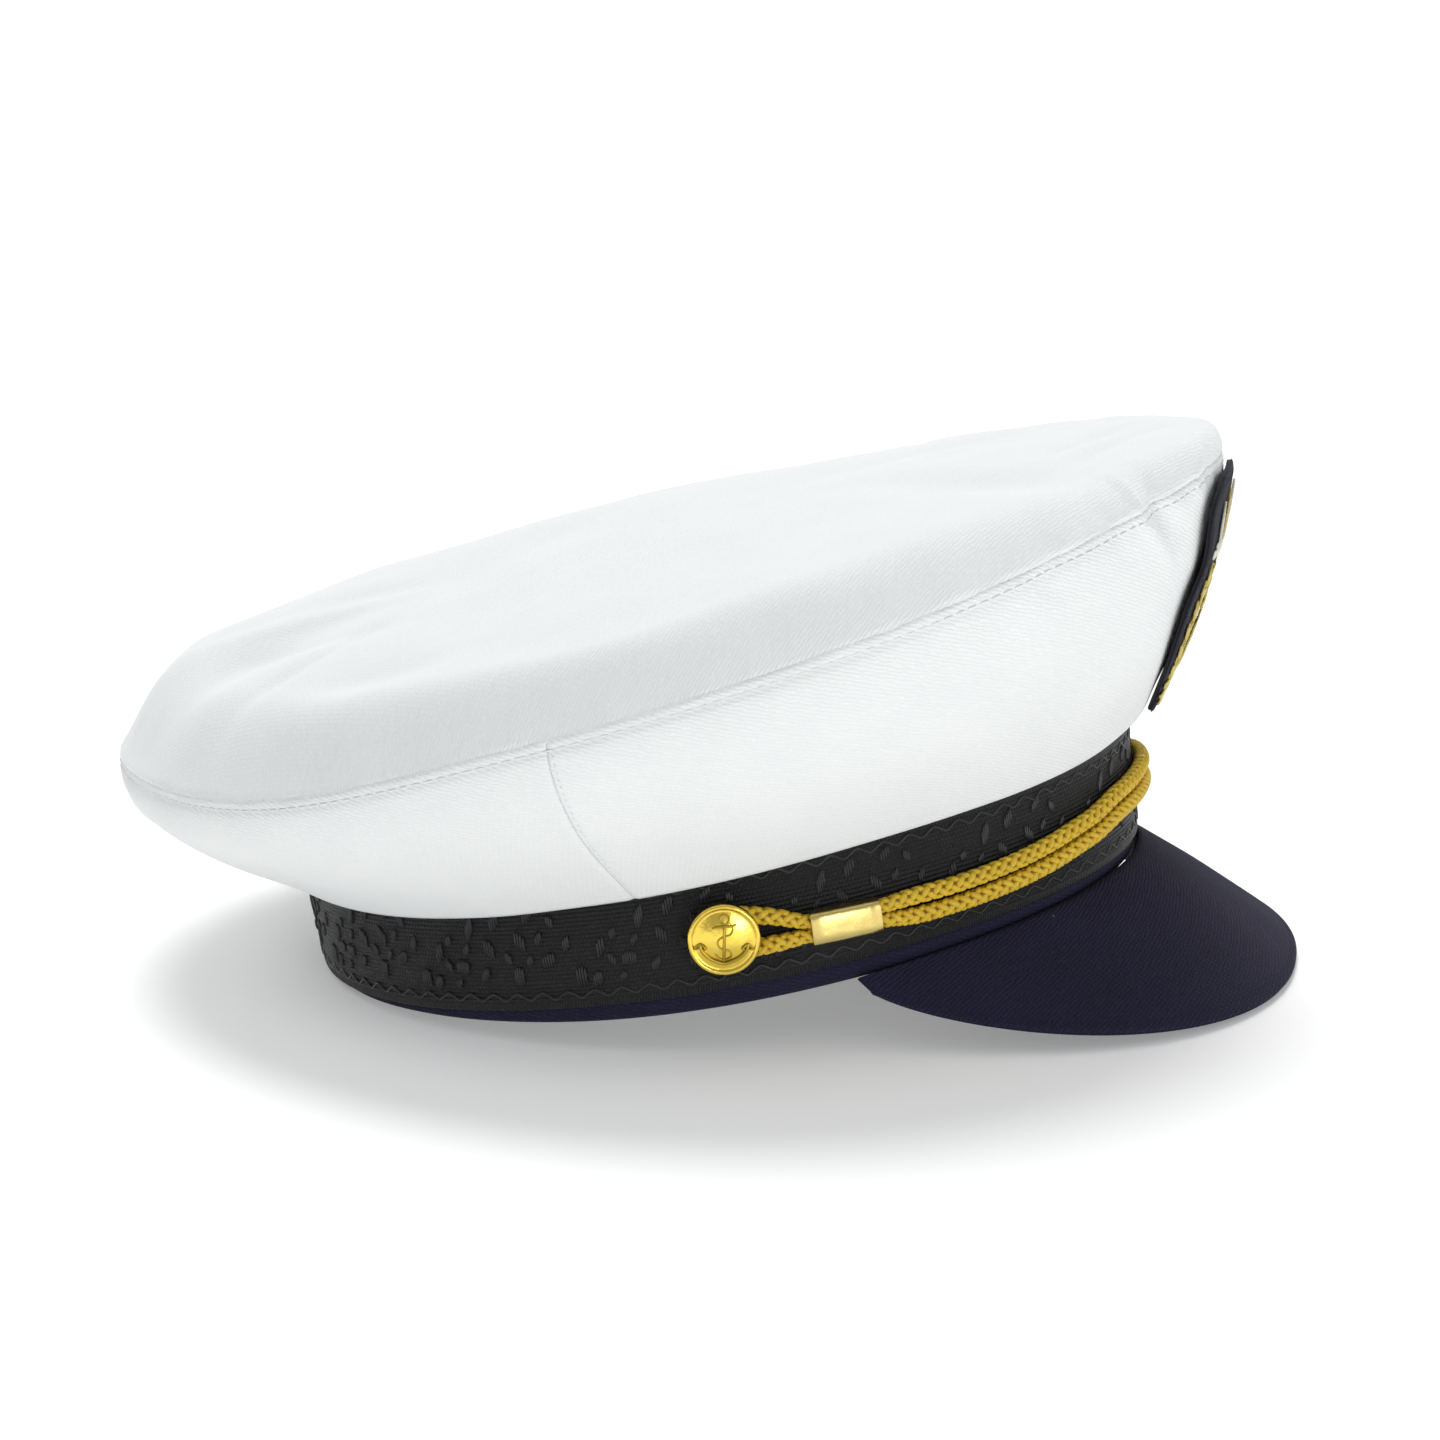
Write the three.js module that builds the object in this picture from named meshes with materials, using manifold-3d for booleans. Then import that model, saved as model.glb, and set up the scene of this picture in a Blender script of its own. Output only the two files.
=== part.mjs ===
// Captain hat: a domed twill crown over a band with a woven ribbon, a cloth-covered visor,
// a looped chin cord on two buttons, and an embroidered badge on the front.
// Millimetres, +Z up. The front faces -Y and the wearer's left is +X.
import * as THREE from "three";
import { TessellateModifier } from "three/addons/modifiers/TessellateModifier.js";
import { mergeVertices } from "three/addons/utils/BufferGeometryUtils.js";
import Module from "manifold-3d";

// Head band
const headDepth = 198.6;
const headWidth = 180.6;
const headEgg = 0.087;
const rimWave = 2.5;
const navyStrip = 3.8;
const underBandWall = 2;
const ribbonWidth = 27.3;
const ribbonWall = 1;
const bandFlare = 0.8;
const fitGap = 0.3;

// Crown
const crownDepth = 269;
const crownWidth = 242;
const crownSetback = 7.7;
const seamHeight = 94.3;
const crownTopHeight = 99.5;
const crownWall = 1.5;
const crownNose = 4.5;
const rollCurve = 2.4;
const sideSeamAngle = 88.3;
const hemTuck = 5;
const hemStep = 6.5;
const hemLip = 1.9;

// Visor
const visorReach = 133.6;
const visorDrop = 29.7;
const visorCornerAngle = 63;
const visorWall = 2.2;
const visorBulge = 0.6;
const visorForeCurve = 0.764;
const visorSideCurve = 0.895;
const visorFallCurve = 0.451;
const restFlat = 0.5;

// Chin cord, sleeves and buttons
const cordDiameter = 4;
const buttonAngle = 78.9;
const buttonHeight = 15;
const buttonDiameter = 16;
const buttonCapDepth = 2.8;
const buttonAnchorHeight = 9.9;
const buttonAnchorSink = 1.1;
const buttonAnchorStand = 0.45;
const shankDiameter = 3;
const sleeveAngle = 64.25;
const sleeveLength = 15.5;
const sleeveWall = 0.5;
const sleeveSqueeze = 0.7;
const sleeveHeight = 13.3;

// Badge
const badgeHeight = 56;
const badgeWidth = 46;
const badgeBase = 37.5;
const badgeSeat = 0.5;
const badgeWrap = 0.8;
const feltWall = 1.7;
const threadRelief = 0.9;
const threadGap = 0.35;
const threadFacet = 4.7;

// Badge embroidery: heights in shares of badgeHeight, widths in shares of badgeWidth
const badgeAnchorTall = 0.36;
const badgeMiddle = 0.36;
const wreathRadius = 0.355;
const wreathStem = 0.028;
const wreathLeaf = 0.04;
const wreathLeaves = 12;
const wreathOpening = 42;
const crestBase = 0.66;
const crestTall = 0.29;
const crestHalf = 0.34;
const crestLeaves = 5;

// Facet counts
const roundSteps = 60;
const visorSteps = 32;
const cordSides = 8;
const buttonSides = 18;
const sleeveSides = 16;

// Heights of the band's edges: wave in shares of rimWave, strip in shares of navyStrip
const bandLines = [
  { angle: 0, wave: 0.92, strip: 1.0 },
  { angle: 45, wave: -0.05, strip: 1.15 },
  { angle: 90, wave: -1.1, strip: 1.09 },
  { angle: 135, wave: -0.3, strip: 0.45 },
  { angle: 180, wave: 0.56, strip: 0.4 },
];

// Crown stations: seam and roll in shares of seamHeight, nose in shares of crownNose, soft in
// shares of the way to the middle of the top, slant (a power: under 0.5 the roll starts upright,
// over 1 it starts as a slope), lift (of the cloth just outside the ribbon) in shares of ribbonWidth
const crownStations = [
  { angle: 0, seam: 1.0, nose: 1, roll: 0.08, soft: 0.04, slant: 0.45, lift: 0.14 },
  { angle: 30, seam: 0.938, nose: 0, roll: 0.108, soft: 0.1, slant: 0.8, lift: 0.04 },
  { angle: 60, seam: 0.832, nose: 0, roll: 0.138, soft: 0.12, slant: 1.15, lift: -0.01 },
  { angle: 90, seam: 0.715, nose: 0, roll: 0.142, soft: 0.115, slant: 1.3, lift: -0.1 },
  { angle: 120, seam: 0.61, nose: 0, roll: 0.16, soft: 0.14, slant: 1.35, lift: -0.14 },
  { angle: 150, seam: 0.62, nose: 0, roll: 0.155, soft: 0.17, slant: 1.4, lift: -0.07 },
  { angle: 180, seam: 0.635, nose: 0, roll: 0.148, soft: 0.18, slant: 1.4, lift: 0 },
];

// Side panel sections from the hem's step to the top seam, in shares of the way out and up
const sideRows = [
  { frontOut: 0, frontUp: 0, sideOut: 0, sideUp: 0, backOut: 0, backUp: 0 },
  { frontOut: 0.12, frontUp: 0.09, sideOut: 0.22, sideUp: 0.12, backOut: 0.27, backUp: 0.2 },
  { frontOut: 0.38, frontUp: 0.27, sideOut: 0.5, sideUp: 0.29, backOut: 0.53, backUp: 0.34 },
  { frontOut: 0.62, frontUp: 0.48, sideOut: 0.76, sideUp: 0.48, backOut: 0.77, backUp: 0.48 },
  { frontOut: 0.82, frontUp: 0.69, sideOut: 0.94, sideUp: 0.69, backOut: 0.94, backUp: 0.61 },
  { frontOut: 0.95, frontUp: 0.87, sideOut: 1.01, sideUp: 0.87, backOut: 1.01, backUp: 0.78 },
  { frontOut: 1, frontUp: 1, sideOut: 1, sideUp: 1, backOut: 1, backUp: 1 },
];

// How far in from the seam each row of the top panel lies, in shares of the way to its middle
const topRows = [0, 0.015, 0.035, 0.06, 0.095, 0.15, 0.24, 0.37, 0.53, 0.7, 0.86];

// Dents and folds of the top panel: place, length and width in shares of the crown's half
// sizes (right to left, back to front), depth in shares of seamHeight; negative stands up
const topFolds = [
  { across: -0.45, along: -0.62, turn: 35, length: 0.34, width: 0.1, depth: 0.035 },
  { across: -0.3, along: -0.72, turn: 25, length: 0.3, width: 0.08, depth: -0.02 },
  { across: 0.38, along: -0.6, turn: -30, length: 0.32, width: 0.1, depth: 0.03 },
  { across: -0.28, along: 0.62, turn: -35, length: 0.26, width: 0.07, depth: 0.02 },
  { across: 0.3, along: 0.58, turn: 40, length: 0.26, width: 0.08, depth: 0.018 },
];

// Route of one side of the chin cord from the front: height of the pair's middle above the
// band's plane and half the distance between the two strands
const cordRoute = [
  { angle: 0, height: 20.4, spread: 2.25 },
  { angle: 14, height: 19.7, spread: 2.25 },
  { angle: 26, height: 16.8, spread: 2.2 },
  { angle: 38, height: 14.4, spread: 2.2 },
  { angle: 48, height: 13.2, spread: 2.2 },
  { angle: 55, height: 13, spread: 2.2 },
];

// Badge outline from its bottom tab to its rounded top
const badgeRows = [
  { up: 0, half: 0.26 },
  { up: 0.05, half: 0.36 },
  { up: 0.12, half: 0.58 },
  { up: 0.22, half: 0.83 },
  { up: 0.35, half: 0.98 },
  { up: 0.48, half: 1 },
  { up: 0.57, half: 0.9 },
  { up: 0.63, half: 0.76 },
  { up: 0.7, half: 0.79 },
  { up: 0.82, half: 0.92 },
  { up: 0.92, half: 0.88 },
  { up: 1, half: 0.58 },
];

// Half section of a button's cap: out in shares of its radius, up in shares of its depth
const buttonRows = [
  { out: 0.93, up: 0 },
  { out: 1, up: 0.25 },
  { out: 1, up: 0.57 },
  { out: 0.94, up: 0.72 },
  { out: 0.87, up: 0.58 },
  { out: 0.6, up: 0.84 },
  { out: 0, up: 1 },
];

// Right half of a plain anchor, in shares of its height, from the ring down to the arms' point
const anchorEye = { up: 0.4, radius: 0.045 };
const anchorHalf = [
  { side: 0, up: 0.5 },
  { side: 0.075, up: 0.47 },
  { side: 0.1, up: 0.4 },
  { side: 0.07, up: 0.33 },
  { side: 0.05, up: 0.28 },
  { side: 0.25, up: 0.28 },
  { side: 0.25, up: 0.2 },
  { side: 0.05, up: 0.2 },
  { side: 0.05, up: -0.33 },
  { side: 0.2, up: -0.26 },
  { side: 0.27, up: -0.14 },
  { side: 0.2, up: -0.12 },
  { side: 0.37, up: 0.04 },
  { side: 0.44, up: -0.16 },
  { side: 0.38, up: -0.18 },
  { side: 0.28, up: -0.37 },
  { side: 0, up: -0.5 },
];

const wasm = await Module();
wasm.setup();

const radians = THREE.MathUtils.degToRad;
const lerp = THREE.MathUtils.lerp;

// Value of a column at an angle in degrees; rows are evenly spaced and mirror at both ends
function readTable(table, angle, column) {
  const last = table.length - 1;
  const spacing = table[1].angle - table[0].angle;
  const turned = Math.abs(((angle + 180) % 360 + 360) % 360 - 180);
  const place = turned / spacing;
  const row = Math.min(Math.floor(place), last - 1);
  const part = place - row;
  const value = (index) => table[index < 0 ? -index : index > last ? 2 * last - index : index][column];
  const [before, start, end, after] = [row - 1, row, row + 1, row + 2].map(value);
  const startSlope = (end - before) / 2;
  const endSlope = (after - start) / 2;
  const square = part * part;
  const cube = square * part;
  return start * (2 * cube - 3 * square + 1) + startSlope * (cube - 2 * square + part)
    + end * (3 * square - 2 * cube) + endSlope * (cube - square);
}

// Point on the band's outline: angle in degrees from the front towards the wearer's left
function bandPoint(angle, outset, height) {
  const turn = radians(angle);
  const lean = outset + bandFlare * height / ribbonWidth;
  const forward = (headDepth / 2 + lean) * Math.cos(turn);
  const left = (headWidth / 2 + lean) * Math.sin(turn) * (1 - headEgg * Math.cos(turn));
  return new THREE.Vector3(left, -forward, height);
}

function rimLine(angle) {
  return rimWave * readTable(bandLines, angle, "wave");
}

function ribbonLine(angle) {
  return rimLine(angle) + navyStrip * readTable(bandLines, angle, "strip");
}

function ribbonTopLine(angle) {
  return ribbonLine(angle) + ribbonWidth;
}

// A closed body from rings of points that loop round both ways
function loopBody(rings) {
  const points = rings.flat();
  const sides = rings[0].length;
  const triangles = [];
  for (let ring = 0; ring < rings.length; ring += 1) {
    const next = (ring + 1) % rings.length;
    for (let side = 0; side < sides; side += 1) {
      const beside = (side + 1) % sides;
      const [here, there] = [ring * sides, next * sides];
      pushQuad(triangles, here + side, here + beside, there + beside, there + side);
    }
  }
  return closedBody(points, triangles);
}

// A closed wall between an outer and an inner grid; a dome also closes over its last row
function wallBody(outer, inner, { dome = null } = {}) {
  const rows = outer.length;
  const columns = outer[0].length;
  const wraps = dome !== null;
  const points = [...outer.flat(), ...inner.flat()];
  const triangles = [];
  const at = (face, row, column) => face * rows * columns + row * columns + column % columns;
  const spans = wraps ? columns : columns - 1;
  const last = rows - 1;
  for (let column = 0; column < spans; column += 1) {
    const next = column + 1;
    for (let row = 0; row < last; row += 1) {
      const above = row + 1;
      pushQuad(triangles, at(0, row, column), at(0, row, next), at(0, above, next), at(0, above, column));
      pushQuad(triangles, at(1, row, column), at(1, above, column), at(1, above, next), at(1, row, next));
    }
    pushQuad(triangles, at(0, 0, column), at(1, 0, column), at(1, 0, next), at(0, 0, next));
    if (wraps) {
      triangles.push([at(0, last, column), at(0, last, next), points.length]);
      triangles.push([at(1, last, next), at(1, last, column), points.length + 1]);
    } else {
      pushQuad(triangles, at(0, last, column), at(0, last, next), at(1, last, next), at(1, last, column));
    }
  }
  if (wraps) {
    points.push(...dome);
  } else {
    const end = columns - 1;
    for (let row = 0; row < rows - 1; row += 1) {
      pushQuad(triangles, at(0, row, 0), at(0, row + 1, 0), at(1, row + 1, 0), at(1, row, 0));
      pushQuad(triangles, at(0, row, end), at(1, row, end), at(1, row + 1, end), at(0, row + 1, end));
    }
  }
  return closedBody(points, triangles);
}

function pushQuad(triangles, a, b, c, d) {
  triangles.push([a, b, c], [a, c, d]);
}

// Geometry of a closed body, turned to face out whichever way its rows were listed
function closedBody(points, triangles) {
  const volume = triangles.reduce((sum, [a, b, c]) => (
    sum + points[a].dot(new THREE.Vector3().crossVectors(points[b], points[c]))
  ), 0);
  const index = triangles.flatMap(([a, b, c]) => (volume > 0 ? [a, b, c] : [a, c, b]));
  const geometry = new THREE.BufferGeometry();
  geometry.setAttribute("position", new THREE.Float32BufferAttribute(points.flatMap((p) => p.toArray()), 3));
  geometry.setIndex(index);
  geometry.computeVertexNormals();
  return geometry;
}

// The grid moved along its own normals; level rows keep their height
function offsetGrid(grid, distance, { wraps = false, levelRows = [] } = {}) {
  const rows = grid.length;
  const columns = grid[0].length;
  return grid.map((line, row) => line.map((point, column) => {
    const left = wraps ? (column + columns - 1) % columns : Math.max(column - 1, 0);
    const right = wraps ? (column + 1) % columns : Math.min(column + 1, columns - 1);
    const across = line[right].clone().sub(line[left]).normalize();
    const below = grid[Math.max(row - 1, 0)][column];
    const above = grid[Math.min(row + 1, rows - 1)][column];
    const before = point.clone().sub(below).normalize();
    const after = above.clone().sub(point).normalize();
    const normal = new THREE.Vector3().crossVectors(across, before.add(after));
    if (levelRows.includes(row)) {
      normal.z = 0;
    }
    return point.clone().addScaledVector(normal.normalize(), distance);
  }));
}

function toSolid(geometry) {
  const plain = geometry.clone();
  plain.deleteAttribute("normal");
  plain.deleteAttribute("uv");
  const merged = mergeVertices(plain);
  return new wasm.Manifold(new wasm.Mesh({
    numProp: 3,
    vertProperties: merged.attributes.position.array,
    triVerts: Uint32Array.from(merged.index.array),
  }));
}

function toGeometry(solid) {
  const mesh = solid.getMesh();
  const geometry = new THREE.BufferGeometry();
  geometry.setAttribute("position", new THREE.BufferAttribute(mesh.vertProperties, 3));
  geometry.setIndex(new THREE.BufferAttribute(mesh.triVerts, 1));
  geometry.computeVertexNormals();
  return geometry;
}

function shapeFrom(points) {
  return new THREE.Shape(points.map(([side, up]) => new THREE.Vector2(side, up)));
}

function extruded(shape, depth) {
  return new THREE.ExtrudeGeometry(shape, { depth, bevelEnabled: false, curveSegments: 6 });
}

// Moves each vertex of a geometry by a function of its place
function mapped(geometry, place) {
  const plain = geometry.clone();
  plain.deleteAttribute("normal");
  plain.deleteAttribute("uv");
  const merged = mergeVertices(plain);
  const position = merged.attributes.position;
  const point = new THREE.Vector3();
  for (let index = 0; index < position.count; index += 1) {
    point.fromBufferAttribute(position, index);
    position.setXYZ(index, ...place(point).toArray());
  }
  merged.computeVertexNormals();
  return merged;
}

// The hat rests on the band's rear edge and the tip of its visor
const rearEdge = headDepth / 2;
const rearHeight = rimLine(180) + restFlat;
const restPitch = Math.atan2(rearHeight + visorDrop, visorReach + rearEdge);
const restDrop = rearHeight * Math.cos(restPitch) - rearEdge * Math.sin(restPitch);
const restPose = new THREE.Matrix4().makeRotationX(-restPitch).setPosition(0, 0, -restDrop);

function stations(count) {
  return Array.from({ length: count }, (_, index) => index * 360 / count);
}

// Band

function makeUnderBand() {
  const rings = stations(roundSteps).map((angle) => {
    const low = rimLine(angle);
    const high = ribbonTopLine(angle) - hemTuck;
    return [
      bandPoint(angle, 0, low),
      bandPoint(angle, 0, high),
      bandPoint(angle, -underBandWall, high),
      bandPoint(angle, -underBandWall, low),
    ];
  });
  const floorDepth = 20;
  const floor = new THREE.BoxGeometry(2 * headWidth, 2 * headDepth, floorDepth);
  floor.translate(0, 0, -floorDepth / 2);
  floor.applyMatrix4(restPose.clone().invert());
  return toGeometry(toSolid(loopBody(rings)).subtract(toSolid(floor)));
}

function makeRibbonBand() {
  return loopBody(stations(roundSteps).map((angle) => {
    const low = ribbonLine(angle);
    const high = ribbonTopLine(angle);
    return [
      bandPoint(angle, fitGap + ribbonWall, low),
      bandPoint(angle, fitGap + ribbonWall, high),
      bandPoint(angle, fitGap, high),
      bandPoint(angle, fitGap, low),
    ];
  }));
}

// Crown

function seamPoint(angle) {
  const turn = radians(angle);
  const nose = crownNose * readTable(crownStations, angle, "nose");
  const forward = crownDepth / 2 * Math.cos(turn) - crownSetback + nose;
  const height = seamHeight * readTable(crownStations, angle, "seam");
  return new THREE.Vector3(crownWidth / 2 * Math.sin(turn), -forward, height);
}

function foldDepth(across, along) {
  return topFolds.reduce((sum, fold) => {
    const turn = radians(fold.turn);
    const sideways = across - fold.across;
    const forward = along - fold.along;
    const lengthwise = (forward * Math.cos(turn) + sideways * Math.sin(turn)) / fold.length;
    const widthwise = (sideways * Math.cos(turn) - forward * Math.sin(turn)) / fold.width;
    return sum + fold.depth * seamHeight * Math.exp(-lengthwise * lengthwise - widthwise * widthwise);
  }, 0);
}

// Point of the top panel, a share of the way in from the seam to the middle of the top
function topPoint(angle, inward) {
  const seam = seamPoint(angle);
  const middle = new THREE.Vector3(0, crownSetback, crownTopHeight);
  const roll = seamHeight * readTable(crownStations, angle, "roll");
  const soft = readTable(crownStations, angle, "soft");
  const rolled = 1 - Math.min(inward / soft, 1);
  const edge = (1 - rolled ** rollCurve) ** readTable(crownStations, angle, "slant");
  const dome = (inward + Math.sin(inward * Math.PI / 2)) / 2;
  const point = seam.clone().lerp(middle, inward);
  const across = 2 * point.x / crownWidth;
  const along = 2 * (crownSetback - point.y) / crownDepth;
  point.z = seam.z + fitGap / 2 + roll * edge + (middle.z - seam.z - roll) * dome;
  point.z -= edge * foldDepth(across, along);
  return point;
}

function makeCrownTop() {
  const outer = topRows.map((inward) => stations(roundSteps).map((angle) => topPoint(angle, inward)));
  const inner = offsetGrid(outer, -crownWall, { wraps: true, levelRows: [0] });
  const apex = topPoint(0, 1);
  const underApex = apex.clone().setZ(apex.z - crownWall);
  return wallBody(outer, inner, { dome: [apex, underApex] });
}

// Outer face of a side panel at one angle, from the tucked hem up to the top seam
function sideSection(angle) {
  const top = ribbonTopLine(angle);
  const lift = ribbonWidth * readTable(crownStations, angle, "lift");
  const lip = 0.5;
  const hem = bandPoint(angle, 0, top - hemTuck + fitGap);
  const rise = bandPoint(angle, 0, top + lip);
  const over = bandPoint(angle, hemLip, top + lip + Math.max(lift, 0) / hemStep);
  const droop = bandPoint(angle, (hemLip + hemStep) / 2, top + lift / 2);
  const step = bandPoint(angle, hemStep, top + lift);
  const seam = seamPoint(angle).setZ(seamPoint(angle).z - fitGap / 2);
  const facing = Math.cos(radians(angle));
  const front = facing > 0 ? facing * facing : 0;
  const back = facing < 0 ? facing * facing : 0;
  const side = 1 - front - back;
  const rows = sideRows.map((row) => {
    const out = front * row.frontOut + side * row.sideOut + back * row.backOut;
    const up = front * row.frontUp + side * row.sideUp + back * row.backUp;
    const point = step.clone().lerp(seam, out);
    point.z = lerp(step.z, seam.z, up);
    return point;
  });
  return [hem, rise, over, droop, ...rows];
}

function makeSidePanel(fromAngle, toAngle) {
  const seamGap = THREE.MathUtils.radToDeg(fitGap / crownWidth);
  const count = Math.round(roundSteps * (toAngle - fromAngle) / 360);
  const angles = Array.from({ length: count + 1 }, (_, index) => lerp(fromAngle, toAngle, index / count));
  angles[0] += seamGap;
  angles[count] -= seamGap;
  const sections = angles.map(sideSection);
  const outer = sections[0].map((_, row) => sections.map((section) => section[row]));
  const lastRow = outer.length - 1;
  const inner = offsetGrid(outer, -crownWall, { levelRows: [0, lastRow] });
  return wallBody(outer, inner);
}

// Visor

// Lower edge of the visor's rim, from the right corner round the tip to the left corner
function visorEdge(sweep) {
  const corner = bandPoint(visorCornerAngle, fitGap, 0);
  const tipward = Math.sin(sweep);
  const sideward = Math.cos(sweep);
  const forward = lerp(-corner.y, visorReach, tipward ** visorForeCurve);
  const left = -Math.sign(sideward) * corner.x * Math.abs(sideward) ** visorSideCurve;
  const height = lerp(rimLine(visorCornerAngle), -visorDrop, tipward ** visorFallCurve);
  return new THREE.Vector3(left, -forward, height);
}

function makeVisor() {
  const rowShares = [1, 0.82, 0.64, 0.46, 0.28, 0.12, 0];
  const cornerStart = 0.012;
  const seatRise = -0.2;
  const underside = rowShares.map((share) => (
    Array.from({ length: visorSteps + 1 }, (_, column) => {
      const part = column / visorSteps;
      const angle = lerp(-visorCornerAngle, visorCornerAngle, part);
      const eased = lerp(part, (1 - Math.cos(Math.PI * part)) / 2, 0.5);
      const sweep = lerp(cornerStart, Math.PI - cornerStart, eased);
      const seat = bandPoint(angle, fitGap, rimLine(angle) + seatRise);
      const edge = visorEdge(sweep);
      const point = seat.clone().lerp(edge, share);
      const fullness = visorBulge * Math.sin(Math.PI * share) * Math.sin(sweep);
      const slope = Math.atan2(seat.z - edge.z, Math.hypot(edge.x - seat.x, edge.y - seat.y));
      const outward = new THREE.Vector3(Math.sin(radians(angle)), -Math.cos(radians(angle)), 0);
      point.addScaledVector(outward, fullness * Math.sin(slope));
      point.z += fullness * Math.cos(slope);
      return point;
    })
  ));
  return wallBody(offsetGrid(underside, visorWall), underside);
}

// Chin cord

function cordSeat() {
  return fitGap + ribbonWall + fitGap + cordDiameter / 2;
}

function routeValue(angle, column) {
  const next = cordRoute.findIndex((stop) => stop.angle >= angle);
  const end = cordRoute[Math.max(next, 1)];
  const start = cordRoute[Math.max(next, 1) - 1];
  const part = THREE.MathUtils.smoothstep(angle, start.angle, end.angle);
  const straight = (angle - start.angle) / (end.angle - start.angle);
  return lerp(start[column], end[column], (part + straight) / 2);
}

// Degrees of band outline that one millimetre along it covers near an angle
function degreesPerMillimetre(angle) {
  const ahead = bandPoint(angle + 1, cordSeat(), 0);
  return 1 / ahead.distanceTo(bandPoint(angle, cordSeat(), 0));
}

function sleeveEnds() {
  const half = sleeveLength / 2 * degreesPerMillimetre(sleeveAngle);
  return [sleeveAngle - half, sleeveAngle, sleeveAngle + half];
}

// How far a sleeve's back wall holds the strands off the ribbon
function sleeveLift() {
  return sleeveWall + fitGap;
}

// Half the distance between the squeezed strands inside a sleeve
function pinchedSpread() {
  return cordDiameter / 2 * sleeveSqueeze + fitGap / 2;
}

// One side of the cord: out along the upper strand, round the shank and back along the lower
function cordSide(side) {
  const stepAngle = 5.5;
  const front = cordRoute[cordRoute.length - 1].angle;
  const count = Math.round(front / stepAngle);
  const free = { lift: 0, squeeze: 1 };
  const stops = [];
  for (let index = 0; index <= count; index += 1) {
    const angle = front * index / count;
    stops.push({ ...free, angle, height: routeValue(angle, "height"), spread: routeValue(angle, "spread") });
  }
  const spread = pinchedSpread();
  for (const angle of sleeveEnds()) {
    stops.push({ angle, height: sleeveHeight, spread, lift: sleeveLift(), squeeze: sleeveSqueeze });
  }
  const loopRadius = shankDiameter / 2 + fitGap + cordDiameter / 2;
  const perMillimetre = degreesPerMillimetre(buttonAngle);
  const splayPlace = 0.4;
  const splaySpread = 0.8;
  stops.push({
    ...free,
    angle: lerp(stops[stops.length - 1].angle, buttonAngle, splayPlace),
    height: (sleeveHeight + buttonHeight) / 2,
    spread: loopRadius * splaySpread,
  });
  const strand = (stop, sign) => ({ ...stop, height: stop.height + sign * stop.spread });
  const bend = [];
  const bendSteps = 8;
  for (let index = 0; index <= bendSteps; index += 1) {
    const turn = Math.PI * (0.5 - index / bendSteps);
    bend.push({
      ...free,
      angle: buttonAngle + loopRadius * Math.cos(turn) * perMillimetre,
      height: buttonHeight + loopRadius * Math.sin(turn),
    });
  }
  const upper = stops.map((stop) => strand(stop, 1));
  const lower = stops.slice(1).reverse().map((stop) => strand(stop, -1));
  return [...upper, ...bend, ...lower].map((stop) => ({ ...stop, angle: side * stop.angle }));
}

function makeChinCord() {
  const right = cordSide(-1);
  const left = cordSide(1).reverse();
  const frontLow = { ...right[0], height: 2 * cordRoute[0].height - right[0].height };
  const route = [...right, frontLow, ...left.slice(0, -1)];
  const centres = route.map((stop) => bandPoint(stop.angle, cordSeat() + stop.lift, stop.height));
  const rings = centres.map((centre, index) => {
    const before = centres[(index + centres.length - 1) % centres.length];
    const after = centres[(index + 1) % centres.length];
    const along = after.clone().sub(before).normalize();
    const { angle, lift, height } = route[index];
    const outward = bandPoint(angle, cordSeat() + lift + 1, height).sub(centre);
    const across = new THREE.Vector3().crossVectors(along, outward).normalize();
    const out = new THREE.Vector3().crossVectors(across, along).normalize();
    return Array.from({ length: cordSides }, (_, side) => {
      const turn = 2 * Math.PI * (side + 0.5) / cordSides;
      const radius = cordDiameter / 2;
      return centre.clone()
        .addScaledVector(out, radius * Math.cos(turn))
        .addScaledVector(across, radius * route[index].squeeze * Math.sin(turn));
    });
  });
  return loopBody(rings);
}

// A flat tube that pinches both strands, bent to the band
function makeSleeve(side) {
  const angles = sleeveEnds();
  const boreHigh = pinchedSpread() + cordDiameter / 2 * sleeveSqueeze + fitGap;
  const boreDeep = cordDiameter / 2 + fitGap;
  const liftedSeat = cordSeat() + sleeveLift();
  const ring = (turn, wall) => angles.map((angle) => {
    const corner = 0.5;
    const round = (value) => Math.sign(value) * Math.abs(value) ** corner;
    const height = sleeveHeight + (boreHigh + wall) * round(Math.sin(turn));
    return bandPoint(side * angle, liftedSeat + (boreDeep + wall) * round(Math.cos(turn)), height);
  });
  return loopBody(Array.from({ length: sleeveSides }, (_, index) => {
    const turn = 2 * Math.PI * (index + 0.5) / sleeveSides;
    return [...ring(turn, sleeveWall), ...ring(turn, 0).reverse()];
  }));
}

// Buttons

function anchorShape(height) {
  const half = anchorHalf.map(({ side, up }) => [side * height, up * height]);
  const mirrored = half.slice(1, -1).reverse().map(([side, up]) => [-side, up]);
  const shape = shapeFrom([...half, ...mirrored].reverse());
  const eye = new THREE.Path();
  eye.absarc(0, anchorEye.up * height, anchorEye.radius * height, 0, 2 * Math.PI, false);
  shape.holes.push(eye);
  return shape;
}

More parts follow.
